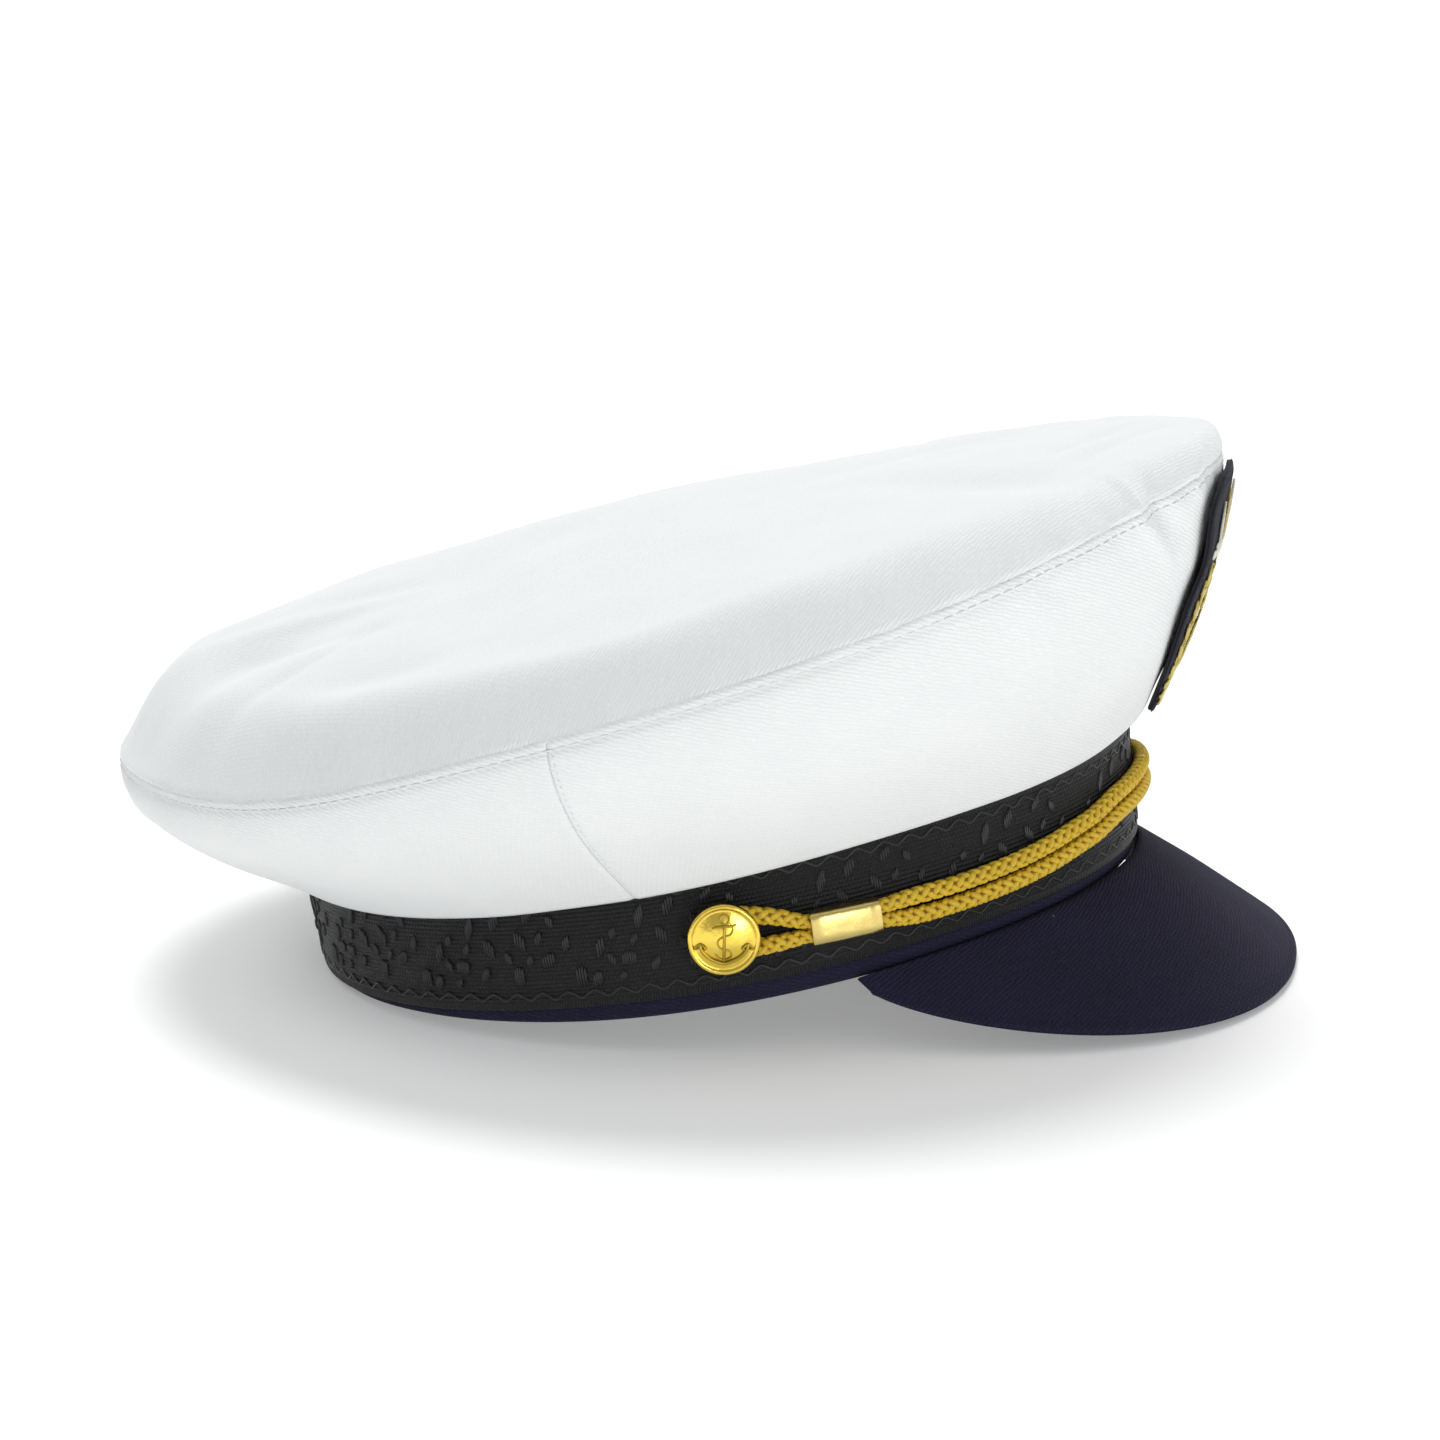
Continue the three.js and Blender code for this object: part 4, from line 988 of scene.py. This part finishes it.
def makePanel(name, start, end):
    gapTurn = math.degrees(seams["gap"] / crown["width"])
    parts = np.linspace(-1, 1, 130)
    eased = 0.5 + np.sign(parts) * (1 - (1 - np.abs(parts)) ** 1.25) / 2
    angles = blend(start + gapTurn, end - gapTurn, eased)
    grid, normal = panelGrid(angles, (start, end))
    inner = grid - crown["wall"] * normal
    sections = np.concatenate([grid, inner[:, ::-1]], 1)
    heights = lengthsAlong(sections, 1)
    lengths = lengthsAlong(seamPoint(angles) * [0.92, 0.92, 0.3])
    marks = np.stack(np.broadcast_arrays(lengths[:, None] + start * 2.2, heights), -1)
    return buildSolid(name, toWorld(sections), closeUp(marks, 1), whiteTwill, wraps=False)


def makeTopStitches():
    # a line on the panels a little way under the top seam
    angles = np.arange(0, 360, seams["stitchTurn"])
    grid, normal = panelGrid(angles, ())
    lengths = lengthsAlong(grid, 1)
    fromHem = lengths[:, -1] - seams["stitchInset"]
    row = np.argmin(np.abs(lengths[:, -1:] - lengths - seams["stitchInset"]), 1)
    pick = np.arange(len(angles))
    part = (fromHem - lengths[pick, row - 1]) / (lengths[pick, row] - lengths[pick, row - 1])
    line = blend(grid[pick, row - 1], grid[pick, row], part[:, None])
    line = evenlySpaced(line + normal[pick, row] * seams["stitchLift"], seams["lineStep"], closed=True)
    return sewRow("topStitches", line, True, seams["pitch"], seams["length"], seams["thickness"])


def makeSideStitches(name, angle):
    away = math.copysign(seams["sideInset"], -angle)
    grid, normal = panelGrid(np.array([angle - 1, angle, angle + 1]) + away, ())
    line = (grid + normal * seams["sideLift"])[1, seams["sideFirst"]:seams["sideLast"]]
    line = evenlySpaced(line, seams["lineStep"])
    return sewRow(
        name, line, False, seams["sidePitch"], seams["sideLength"], seams["sideThickness"])


keepPiece(makeCrownTop(), "white_twill", "crown_top")
sideSeam = crown["sideSeam"]
keepPiece(makePanel("crownFrontRight", -sideSeam, 0), "white_twill", "crown_front_right")
keepPiece(makePanel("crownFrontLeft", 0, sideSeam), "white_twill", "crown_front_left")
keepPiece(makePanel("crownBackLeft", sideSeam, 180), "white_twill", "crown_back_left")
keepPiece(makePanel("crownBackRight", 180, 360 - sideSeam), "white_twill", "crown_back_right")
keepPiece(makeTopStitches(), "white_twill")
keepPiece(makeSideStitches("sideStitchesRight", -sideSeam), "white_twill")
keepPiece(makeSideStitches("sideStitchesLeft", sideSeam), "white_twill")
print("crown made")


# Visor

def visorEdge(sweep):
    corner = bandPoint(visor["corner"], band["gap"], 0)
    tipward, sideward = np.sin(sweep), np.cos(sweep)
    forward = blend(-corner[1], visor["reach"], tipward ** visor["foreCurve"])
    left = -np.sign(sideward) * corner[0] * np.abs(sideward) ** visor["sideCurve"]
    height = blend(rimLine(visor["corner"]), -visor["drop"], tipward ** visor["fallCurve"])
    return np.stack([left, -forward, height], -1)


def visorUnderside(parts, shares):
    # (parts round the visor, shares of the way from the band to the rim)
    angles = blend(-visor["corner"], visor["corner"], parts)
    eased = (parts + (1 - np.cos(math.pi * parts)) / 2) / 2
    sweep = blend(visor["cornerStart"], math.pi - visor["cornerStart"], eased)
    seat = bandPoint(angles, visor["seatGap"], rimLine(angles) + visor["seatRise"])
    edge = visorEdge(sweep)
    point = seat[:, None] + (edge - seat)[:, None] * shares[..., None]
    fullness = visor["bulge"] * np.sin(math.pi * shares) * np.sin(sweep)[:, None]
    slope = np.arctan2(seat[:, 2] - edge[:, 2], np.hypot(*(edge - seat)[:, :2].T))[:, None]
    outward = np.stack([np.sin(np.radians(angles)), -np.cos(np.radians(angles))], -1)[:, None]
    point[..., :2] += outward * (fullness * np.sin(slope))[..., None]
    point[..., 2] += fullness * np.cos(slope)
    return point


def makeVisor():
    columns, half = visor["columns"], visor["wall"] / 2
    even = np.linspace(0, 1, columns)
    parts = blend(even, (1 - np.cos(math.pi * even)) / 2, visor["crowding"])
    ends = visorUnderside(parts, np.tile([0.0, 1.0], (columns, 1)))
    span = np.maximum(np.linalg.norm(ends[:, 1] - ends[:, 0], axis=-1), visor["leastSpan"])
    turn = np.linspace(0, math.pi, 15)
    rimShare = np.minimum(half / span, 0.4)[:, None]
    flat = np.concatenate([np.linspace(0, 0.86, 24), np.linspace(0.88, 1, 14)])[None, :] * (1 - rimShare)
    grooved = visor["groove"] / half * np.exp(-((turn - math.pi / 2) / visor["grooveTurn"]) ** 2)
    rim = 1 - rimShare + rimShare * (np.sin(turn) - grooved)[None, :]
    shares = np.concatenate([flat, rim, flat[:, ::-1]], 1)
    levels = np.concatenate([np.ones(flat.shape[1]), (1 + np.cos(turn)) / 2, np.zeros(flat.shape[1])])
    base = visorUnderside(parts, shares)
    thin = visorUnderside(parts, np.tile(np.linspace(0, 1, 12), (columns, 1)))
    up = unit(np.cross(np.gradient(thin, axis=0), np.gradient(thin, axis=1)))
    up *= np.sign(up[..., 2:3])
    column = np.clip(np.round(shares * 11).astype(int), 0, 11)
    normal = np.take_along_axis(up, column[..., None], 1)
    toRim = (1 - shares) * span[:, None]
    sunken = np.exp(-((toRim - visor["edgeLine"]) / visor["edgeWidth"]) ** 2) * (levels == 1)
    uneven = softField(base, 26, 21) * 0.1 * np.minimum(toRim / 6, 1)
    rise = levels * visor["wall"] - visor["edgeDip"] * sunken + uneven
    world = toWorld(base + normal * rise[..., None])
    world[..., 2] = np.maximum(world[..., 2], 0)
    marks = np.stack(np.broadcast_arrays(
        (parts[:, None] - 0.5) * visor["marksAcross"],
        shares * span[:, None] + (levels == 0) * visor["marksBelow"]), -1)
    return buildSolid("visor", world, closeUp(marks, 1), navyTwill, wraps=False)


keepPiece(makeVisor(), "navy_cloth", "visor")
print("visor made")


# Chin cord

cord = {
    "diameter": 4.0, "buttonAngle": 78.9, "buttonHeight": 15.0, "shank": 3.0, "sleeveAngle": 64.25,
    "sleeveLength": 15.5, "sleeveWall": 0.5, "squeeze": 0.7, "sleeveHeight": 13.3,
    "splayPlace": 0.4, "splaySpread": 0.8, "step": 5.5, "bendSteps": 8,
    # angle, height of the pair and half the distance between its strands
    "stops": [(0, 20.4, 2.25), (14, 19.7, 2.25), (26, 16.8, 2.2), (38, 14.4, 2.2), (48, 13.2, 2.2),
              (55, 13.0, 2.2)],
    "lobePitch": 2.9, "lobeLength": 3.3, "lobeWidth": 1.62, "lobeThickness": 1.5, "lobeTilt": 40,
    "columns": 6, "coreDiameter": 2.6,
}
cordSeat = band["gap"] * 2 + band["ribbonWall"] + cord["diameter"] / 2
sleeveLift = cord["sleeveWall"] + band["gap"]
pinchedSpread = cord["diameter"] / 2 * cord["squeeze"] + band["gap"] / 2


def routeValue(angle, column):
    stops = cord["stops"]
    following = max(1, next(index for index, stop in enumerate(stops) if stop[0] >= angle - 1e-6))
    start, end = stops[following - 1], stops[following]
    straight = (angle - start[0]) / (end[0] - start[0])
    eased = straight * straight * (3 - 2 * straight)
    return blend(start[column], end[column], (straight + eased) / 2)


def degreesPerMillimetre(angle):
    return 1 / np.linalg.norm(bandPoint(angle + 1, cordSeat, 0) - bandPoint(angle, cordSeat, 0))


sleeveHalf = cord["sleeveLength"] / 2 * degreesPerMillimetre(cord["sleeveAngle"])


def cordSide(side):
    # one side of the loop as (angle, height, lift, squeeze)
    last = cord["stops"][-1][0]
    middle, height, squeeze = cord["sleeveAngle"], cord["sleeveHeight"], cord["squeeze"]
    stops = [(angle, routeValue(angle, 1), routeValue(angle, 2), 0, 1)
             for angle in np.linspace(0, last, round(last / cord["step"]) + 1)]
    stops += [(middle + ahead, height, pinchedSpread, sleeveLift, squeeze)
              for ahead in (-sleeveHalf, 0, sleeveHalf)]
    loop = cord["shank"] / 2 + band["gap"] + cord["diameter"] / 2
    splay = blend(middle + sleeveHalf, cord["buttonAngle"], cord["splayPlace"])
    stops.append((splay, (height + cord["buttonHeight"]) / 2, loop * cord["splaySpread"], 0, 1))
    upper = [(angle, middle + spread, *rest) for angle, middle, spread, *rest in stops]
    lower = [(angle, middle - spread, *rest) for angle, middle, spread, *rest in stops[:0:-1]]
    step = degreesPerMillimetre(cord["buttonAngle"])
    bend = [(cord["buttonAngle"] + loop * math.cos(turn) * step,
             cord["buttonHeight"] + loop * math.sin(turn), 0, 1)
            for turn in np.linspace(math.pi / 2, -math.pi / 2, cord["bendSteps"] + 1)]
    return [(side * angle, *rest) for angle, *rest in upper + bend + lower]


def smoothLoop(stops, spacing):
    # closed curve through uneven stops, sampled about one spacing apart
    following = np.roll(stops, -1, 0)
    ahead = np.linalg.norm((following - stops)[:, :3], axis=1)[:, None]
    behind = np.roll(ahead, 1, 0)
    slope = ((following - stops) / ahead * behind + (stops - np.roll(stops, 1, 0)) / behind * ahead) / (
        ahead + behind)
    points = []
    for index, reach in enumerate(ahead[:, 0]):
        after = (index + 1) % len(stops)
        parts = np.linspace(0, 1, max(2, int(reach / spacing)), endpoint=False)[:, None]
        points.append(curveBetween(
            stops[index], stops[after], slope[index] * reach, slope[after] * reach, parts))
    return np.concatenate(points)


def cordLine():
    # columns: centre, outward direction and squeeze, in hat millimetres
    right, left = cordSide(-1), cordSide(1)[::-1]
    frontLow = (0, 2 * cord["stops"][0][1] - right[0][1], 0, 1)
    route = np.array(right + [frontLow] + left[:-1])
    centres = bandPoint(route[:, 0], cordSeat + route[:, 2], route[:, 1])
    outward = bandPoint(route[:, 0], cordSeat + route[:, 2] + 1, route[:, 1]) - centres
    return smoothLoop(np.concatenate([centres, outward, route[:, 3:]], 1), 0.5)


def makeCord():
    line = evenlySpaced(cordLine(), cord["lobePitch"] / 4, closed=True)
    line = line[:len(line) // 4 * 4]
    centre, squeeze = line[:, :3], line[:, 6:7]
    along = unit(np.roll(centre, -1, 0) - np.roll(centre, 1, 0))
    across = unit(np.cross(along, line[:, 3:6]))
    out = unit(np.cross(across, along))
    seat = cord["diameter"] / 2 - cord["lobeThickness"] / 2
    tilt = math.radians(cord["lobeTilt"])
    lobes = []
    for column in range(cord["columns"]):
        turn = 2 * math.pi * (column + 0.5) / cord["columns"]
        lean = 1 if column % 2 else -1
        place = centre + out * seat * math.cos(turn) + across * squeeze * seat * math.sin(turn)
        sideways = across * math.cos(turn) - out * math.sin(turn)
        heading = along * math.cos(tilt) + sideways * math.sin(tilt) * lean
        outward = out * math.cos(turn) + across * math.sin(turn)
        lobes.append(np.stack([place, heading, outward])[:, column % 2 * 2::4])
    places, headings, outwards = np.concatenate(lobes, 1)
    braid = layPads(
        "chinCord", places, headings, outwards, np.full(len(places), cord["lobeLength"] / 2),
        goldBraid, cord["lobeThickness"], cord["lobeWidth"], 10, 6)
    # the core shows only in the gaps between the lobes, where its darker gold is painted shade
    core = [(centre[::4], True, cord["coreDiameter"] / 2)]
    return braid, drawTubes("cordCore", core, paintedCordShade, 8)


sleeve = {"round": 0.5, "columns": 64, "lip": 0.14, "rows": 7}


def makeSleeve(name, side):
    # a flat tube that pinches both strands
    turn = np.linspace(0, 2 * math.pi, sleeve["columns"], endpoint=False) + 0.01
    high = pinchedSpread + cord["diameter"] / 2 * cord["squeeze"] + band["gap"]
    deep = cord["diameter"] / 2 + band["gap"]
    seat = cordSeat + sleeveLift

    def rounded(values):
        return np.sign(values) * np.abs(values) ** sleeve["round"]

    def ring(shift, wall):
        angle = side * (cord["sleeveAngle"] + sleeveHalf * shift)
        return bandPoint(angle, seat + (deep + wall) * rounded(np.cos(turn)),
                         cord["sleeveHeight"] + (high + wall) * rounded(np.sin(turn)))

    wall = cord["sleeveWall"]
    shifts = np.linspace(-0.975, 0.975, sleeve["rows"])
    rows = [ring(shift, wall) for shift in shifts]
    rows += [ring(1, wall - sleeve["lip"]), ring(1, wall * 0.4)]
    rows += [ring(shift, 0) for shift in shifts[::-1]]
    rows += [ring(-1, wall * 0.4), ring(-1, wall - sleeve["lip"])]
    sections = np.stack(rows, 1)
    marks = loopMarks(sections[:, 3], lengthsAlong(sections[0]))
    return buildSolid(name, toWorld(sections), marks, paleBrass)


braid, core = makeCord()
keepPiece(braid, "gold_cord", "chin_cord")
keepPiece(core, "gold_cord")
keepPiece(makeSleeve("cordSleeveRight", -1), "pale_brass", "cord_sleeve_right")
keepPiece(makeSleeve("cordSleeveLeft", 1), "pale_brass", "cord_sleeve_left")
print("chin cord made")


# Buttons

button = {
    "dome": 1.05, "domeReach": 6.5, "tilt": -9.0, "sides": 72,
    # half section: out and up in millimetres, up from the cap's back
    "rows": [(7.3, 0.0), (7.75, 0.25), (7.98, 0.7), (8.0, 1.15), (7.93, 1.6), (7.7, 1.93), (7.4, 2.04),
             (7.1, 1.98), (6.9, 1.8), (6.7, 1.68), (6.3, 1.74), (5.4, 2.0), (4.2, 2.3), (2.8, 2.55),
             (1.4, 2.74)],
    "capTop": 2.8,
    "anchorScale": 1.22, "anchorBold": 1.35, "anchorStand": 0.16,
    # raised lines of a fouled anchor: thickness, whether closed, and the points across and up
    "lines": [
        (0.30, True, [(0.85 * math.cos(turn), 3.95 + 0.85 * math.sin(turn))
                      for turn in np.linspace(0, 2 * math.pi, 16, endpoint=False)]),
        (0.42, False, [(-2.3, 2.35), (-1.2, 2.62), (0, 2.7), (1.2, 2.75), (2.2, 3.05)]),
        (0.52, False, [(0, 3.0), (0, 1.0), (0, -1.5), (0, -4.0)]),
        (0.62, False, [(-4.35, -0.5), (-3.9, -1.9), (-2.6, -3.2), (-1.1, -3.9), (0, -4.15),
                       (1.1, -3.9), (2.6, -3.2), (3.9, -1.9), (4.35, -0.5)]),
        (0.46, False, [(-4.35, -0.5), (-5.1, -1.5), (-4.5, -1.55)]),
        (0.46, False, [(-4.35, -0.5), (-3.3, -1.35), (-3.8, -1.7)]),
        (0.46, False, [(4.35, -0.5), (5.1, -1.5), (4.5, -1.55)]),
        (0.46, False, [(4.35, -0.5), (3.3, -1.35), (3.8, -1.7)]),
        (0.26, False, [(0.7, 3.6), (1.5, 2.6), (1.1, 1.3), (-0.5, 0.7), (-1.2, -0.2), (-0.6, -1.3),
                       (0.9, -1.8), (1.3, -2.8), (0.2, -3.5), (-0.9, -3.2), (-1.6, -2.4)]),
    ],
}
buttonBase = cord["diameter"] + band["gap"]


def buttonFrame(side):
    # foot of the shank, then the directions to the viewer's right, out and up
    angle, height = side * cord["buttonAngle"], cord["buttonHeight"]
    seat = band["gap"] * 2 + band["ribbonWall"]
    foot = bandPoint(angle, seat, height)
    up = unit(bandPoint(angle, seat, height + 1) - foot)
    out = unit(np.cross(bandPoint(angle + 1, seat, height) - bandPoint(angle - 1, seat, height), up))
    return foot, np.cross(up, out), out, up


def makeButton(name, side):
    foot, right, out, up = buttonFrame(side)
    turn = np.linspace(0, 2 * math.pi, button["sides"], endpoint=False)
    around = right * np.cos(turn)[:, None] + up * np.sin(turn)[:, None]
    profile = [(cord["shank"] / 2, 0), (cord["shank"] / 2, buttonBase)]
    profile += [(reach, buttonBase + rise) for reach, rise in button["rows"]]
    sections = np.stack([foot + around * reach + out * rise for reach, rise in profile], 1)
    poles = toWorld([foot, foot + out * (buttonBase + button["capTop"])])
    reaches = np.array(profile)[:, 0]
    marks = closeUp(np.stack([np.outer(np.cos(turn), reaches), np.outer(np.sin(turn), reaches)], -1))
    return buildSolid(name, toWorld(sections), marks, giltMetal, loops=False, poles=poles)


def makeButtonAnchor(name, side):
    foot, right, out, up = buttonFrame(side)
    tilt = math.radians(button["tilt"])
    lines = []
    for thickness, closed, stops in button["lines"]:
        points = np.array(stops) * button["anchorScale"]
        if not closed:
            points = throughPoints(points, np.linspace(0, len(stops) - 1, len(stops) * 5))
        across = points[:, 0] * math.cos(tilt) - points[:, 1] * math.sin(tilt)
        rise = points[:, 0] * math.sin(tilt) + points[:, 1] * math.cos(tilt)
        fall = button["dome"] * (across ** 2 + rise ** 2) / button["domeReach"] ** 2
        level = buttonBase + button["capTop"] - fall + button["anchorStand"]
        half = np.full(len(points), thickness / 2 * button["anchorBold"])
        if not closed:
            ends = np.minimum(np.arange(len(points)), np.arange(len(points))[::-1])
            half *= np.minimum(0.45 + ends * 0.2, 1)
        place = foot + right * across[:, None] + up * rise[:, None] + out * level[:, None]
        lines.append((place, closed, half))
    # the raised anchor is drawn in the darker gilt, painted shade
    return drawTubes(name, lines, shadedGilt, 8)


for label, side in (("Right", -1), ("Left", 1)):
    keepPiece(makeButton("button" + label, side), "gilt_button", "button_" + label.lower())
    keepPiece(makeButtonAnchor("buttonAnchor" + label, side), "gilt_button")
print("buttons made")


# Badge

badge = {
    "height": 56.0, "width": 46.0, "base": 37.5, "lean": 0.955, "seat": 0.5, "wrap": 0.8, "felt": 1.7,
    "threadPitch": 0.42, "threadThickness": 0.62, "threadWidth": 0.52, "threadLevel": 2.05,
    "edgePitch": 0.55, "edgeLength": 2.0,
    # outline: up in shares of the height, half width in shares of half the width
    "rows": [(0, 0.26), (0.05, 0.36), (0.12, 0.58), (0.22, 0.83), (0.35, 0.98), (0.48, 1), (0.57, 0.9),
             (0.63, 0.76), (0.7, 0.79), (0.82, 0.92), (0.92, 0.88), (1, 0.58)],
    "middle": 0.36, "frontFirst": 14,
    # strokes: height above the felt's threads, widths, and points in shares of the anchor's height
    "anchor": [
        (0.0, [1.1] * 9, [(0, 0.5), (0.075, 0.47), (0.1, 0.4), (0.07, 0.33), (0, 0.3), (-0.07, 0.33),
                          (-0.1, 0.4), (-0.075, 0.47), (0, 0.5)]),
        (0.1, [1.6, 1.9, 1.6], [(-0.24, 0.24), (0, 0.24), (0.24, 0.24)]),
        (0.15, [2.0, 2.1, 2.2], [(0, 0.3), (0, 0), (0, -0.4)]),
        (0.1, [1.2, 2.2, 2.5, 2.6, 2.5, 2.2, 1.2], [
            (-0.41, -0.06), (-0.34, -0.24), (-0.18, -0.38), (0, -0.44), (0.18, -0.38),
            (0.34, -0.24), (0.41, -0.06)]),
        (0.2, [0.5, 2.6, 3.6], [(-0.4, 0.06), (-0.39, -0.04), (-0.36, -0.14)]),
        (0.2, [0.5, 2.6, 3.6], [(0.4, 0.06), (0.39, -0.04), (0.36, -0.14)]),
    ],
    "wreathRadius": 0.355, "stem": (4, 136, 12), "stemWidth": 0.9, "leafPairs": (14, 132, 9),
    "leafRoot": 0.2, "leafAim": (0.86, 0.52), "leafReach": (0.2, 1.6, 3.2, 4.8),
    "leafWidths": [0.5, 2.0, 2.0, 0.4],
    # crest: base, height and half width in shares, then its bars (half span, widths, height
    # above the base at the ends and in the middle, level) and its leaves (span, rise)
    "crestBase": 0.66, "crestHeight": 0.29, "crestHalf": 0.34,
    "bars": [(0.8, [2.0, 2.2, 2.0], 1.1, 0.9, 0.0), (0.75, [1.1, 1.2, 1.1], 3.2, 3.0, 0.1)],
    "crestFoot": 4, "crestFall": 0.28, "crestWidths": [1.4, 3.0, 2.6, 0.5],
    "crestSteps": [(0.78, 0), (0.9, 0.35), (1, 0.7), (1.02, 1)],
}
frontLine = panelSections(np.array([-0.5, 0.0, 0.5]))[1, badge["frontFirst"]:]


def badgePoint(across, up, out):
    across, up, out = np.broadcast_arrays(np.asarray(across, float), up, out)
    height = badge["base"] + up * badge["lean"]
    point = readColumns(height, frontLine[:, 2], frontLine)
    slope = unit(readColumns(height, frontLine[:, 2], unit(np.gradient(frontLine, axis=0))))
    point[..., 2] = height
    outward = np.stack([np.zeros_like(height), -slope[..., 2], slope[..., 1]], -1)
    point = point + outward * (badge["seat"] + out)[..., None]
    frontRadius = (crown["width"] / 2) ** 2 / (crown["depth"] / 2)
    point[..., 0] += across
    point[..., 1] += badge["wrap"] * across ** 2 / (2 * frontRadius)
    return point


def badgeOutline(count):
    rows = np.array(badge["rows"])
    fine = throughPoints(rows, np.linspace(0, len(rows) - 1, count))
    return fine[:, 0] * badge["height"], np.maximum(fine[:, 1], 0.1) * badge["width"] / 2


def makeBadgeFelt():
    # each row is one closed ring round the felt's thickness
    ups, halves = badgeOutline(64)
    turn = np.linspace(0, 2 * math.pi, 56, endpoint=False)

    def squared(values, power):
        return np.sign(values) * np.abs(values) ** power

    middle = badge["felt"] / 2
    sections = badgePoint(
        halves * squared(np.cos(turn), 0.45)[:, None], ups,
        middle * (1 + squared(np.sin(turn), 0.6))[:, None])
    poles = toWorld([badgePoint(0, ups[0] - 0.4, middle), badgePoint(0, ups[-1] + 0.4, middle)])
    marks = np.zeros((len(turn) + 1, len(ups) + 1, 2))
    return buildSolid("badgeFelt", toWorld(sections), marks, navyFelt, loops=False, poles=poles)


def satinStroke(stops, widths, level=0.0):
    # threads laid side by side across a stroke, as rows of (start, end) on the badge
    stops = np.concatenate([np.asarray(stops, float), np.asarray(widths, float)[:, None]], 1)
    fine = throughPoints(stops, np.linspace(0, len(stops) - 1, len(stops) * 12))
    lengths = lengthsAlong(fine[:, :2])
    count = max(2, int(lengths[-1] / badge["threadPitch"]))
    even = readColumns(np.linspace(0, lengths[-1], count), lengths, fine)
    heading = unit(np.gradient(even[:, :2], axis=0))
    side = np.stack([-heading[:, 1], heading[:, 0]], -1) * np.maximum(even[:, 2:3], 0.35) / 2
    return np.concatenate([even[:, :2] - side, even[:, :2] + side, np.full((count, 1), level)], 1)


def layThreads(name, threads, finish, seed):
    threads = np.concatenate(threads)
    chance = np.random.default_rng(seed)
    level = badge["threadLevel"] + threads[:, 4] + chance.uniform(-0.05, 0.05, len(threads))
    start = badgePoint(threads[:, 0], threads[:, 1], level)
    end = badgePoint(threads[:, 2], threads[:, 3], level)
    across, up = (threads[:, :2] + threads[:, 2:4]).T / 2
    middle = badgePoint(across, up, level)
    reach = np.linalg.norm(end - start, axis=1) / 2 + 0.2
    return layPads(
        name, ((start + end) / 2 + middle) / 2, end - start, badgePoint(across, up, level + 1) - middle,
        reach, finish, badge["threadThickness"], badge["threadWidth"], 6, 5)


def makeBadgeAnchor():
    middle = badge["height"] * badge["middle"]
    strokes = [satinStroke(np.array(points) * middle + [0, middle], widths, level)
               for level, widths, points in badge["anchor"]]
    return layThreads("badgeAnchor", strokes, goldThread, 51)


def makeBadgeWreath():
    # pairs of leaves on two stems that rise from the bottom
    middle, radius = badge["height"] * badge["middle"], badge["width"] * badge["wreathRadius"]
    forward, sideways = badge["leafAim"]
    strokes = []
    for side in (-1, 1):
        stem = [(side * radius * math.sin(turn), middle - radius * math.cos(turn))
                for turn in np.radians(np.linspace(*badge["stem"]))]
        strokes.append(satinStroke(stem, [badge["stemWidth"]] * len(stem), -0.2))
        for turn in np.radians(np.linspace(*badge["leafPairs"])):
            heading = np.array([side * math.cos(turn), math.sin(turn)])
            outward = np.array([side * math.sin(turn), -math.cos(turn)])
            root = outward * radius + [0, middle]
            for lean in (-1, 1):
                aim = heading * forward + outward * lean * sideways
                leaf = [root + outward * lean * badge["leafRoot"] + aim * reach
                        for reach in badge["leafReach"]]
                strokes.append(satinStroke(leaf, badge["leafWidths"], 0.1))
    return layThreads("badgeWreath", strokes, goldThread, 52)


def makeBadgeCrest():
    # a fan of upright leaves over a short bar
    base, tall = badge["height"] * badge["crestBase"], badge["height"] * badge["crestHeight"]
    half, foot = badge["width"] * badge["crestHalf"], badge["crestFoot"]
    silver = [
        satinStroke([(-half * span, base + ends), (0, base + middle), (half * span, base + ends)],
                    widths, level)
        for span, widths, ends, middle, level in badge["bars"]]
    gold = []
    for index, place in enumerate(np.linspace(-0.8, 0.8, 5)):
        tip = tall * (1 - badge["crestFall"] * place ** 2)
        leaf = [(place * half * out, base + foot + (tip - foot) * up)
                for out, up in badge["crestSteps"]]
        (gold if index % 2 else silver).append(satinStroke(leaf, badge["crestWidths"], 0.15))
    return (layThreads("badgeCrest", silver, silverThread, 53),
            layThreads("badgeCrestGold", gold, goldThread, 54))


def makeBadgeEdge():
    # dark threads whipped over the felt's edge
    ups, halves = badgeOutline(200)
    right = np.stack([halves, ups], -1)
    outline = closeUp(np.concatenate([right, (right * [-1, 1])[::-1]]))
    lengths = lengthsAlong(outline)
    even = readColumns(np.arange(0, lengths[-1], badge["edgePitch"]), lengths, outline)
    heading = unit(np.roll(even, -1, 0) - np.roll(even, 1, 0))
    inward = np.stack([-heading[:, 1], heading[:, 0]], -1)
    chance = np.random.default_rng(55)
    reach = badge["edgeLength"] * chance.uniform(0.8, 1.15, (len(even), 1))
    start, end = (even - inward * 0.25).T, (even + inward * reach).T
    low = badgePoint(*start, badge["felt"] * 0.75)
    high = badgePoint(*end, badge["felt"] + 0.02)
    outward = badgePoint(*end, badge["felt"] + 1) - high
    return layPads(
        "badgeEdge", (low + high) / 2, high - low, outward,
        np.linalg.norm(high - low, axis=1) * 0.55, navyThread, 0.5, 0.62, 6, 4)


keepPiece(makeBadgeFelt(), "badge_felt", "badge_backing")
keepPiece(makeBadgeEdge(), "badge_felt")
keepPiece(makeBadgeAnchor(), "gold_thread", "badge_anchor")
keepPiece(makeBadgeWreath(), "gold_thread", "badge_wreath")
silverCrest, goldCrest = makeBadgeCrest()
keepPiece(silverCrest, "silver_thread", "badge_crest")
keepPiece(goldCrest, "gold_thread")
print("badge made")
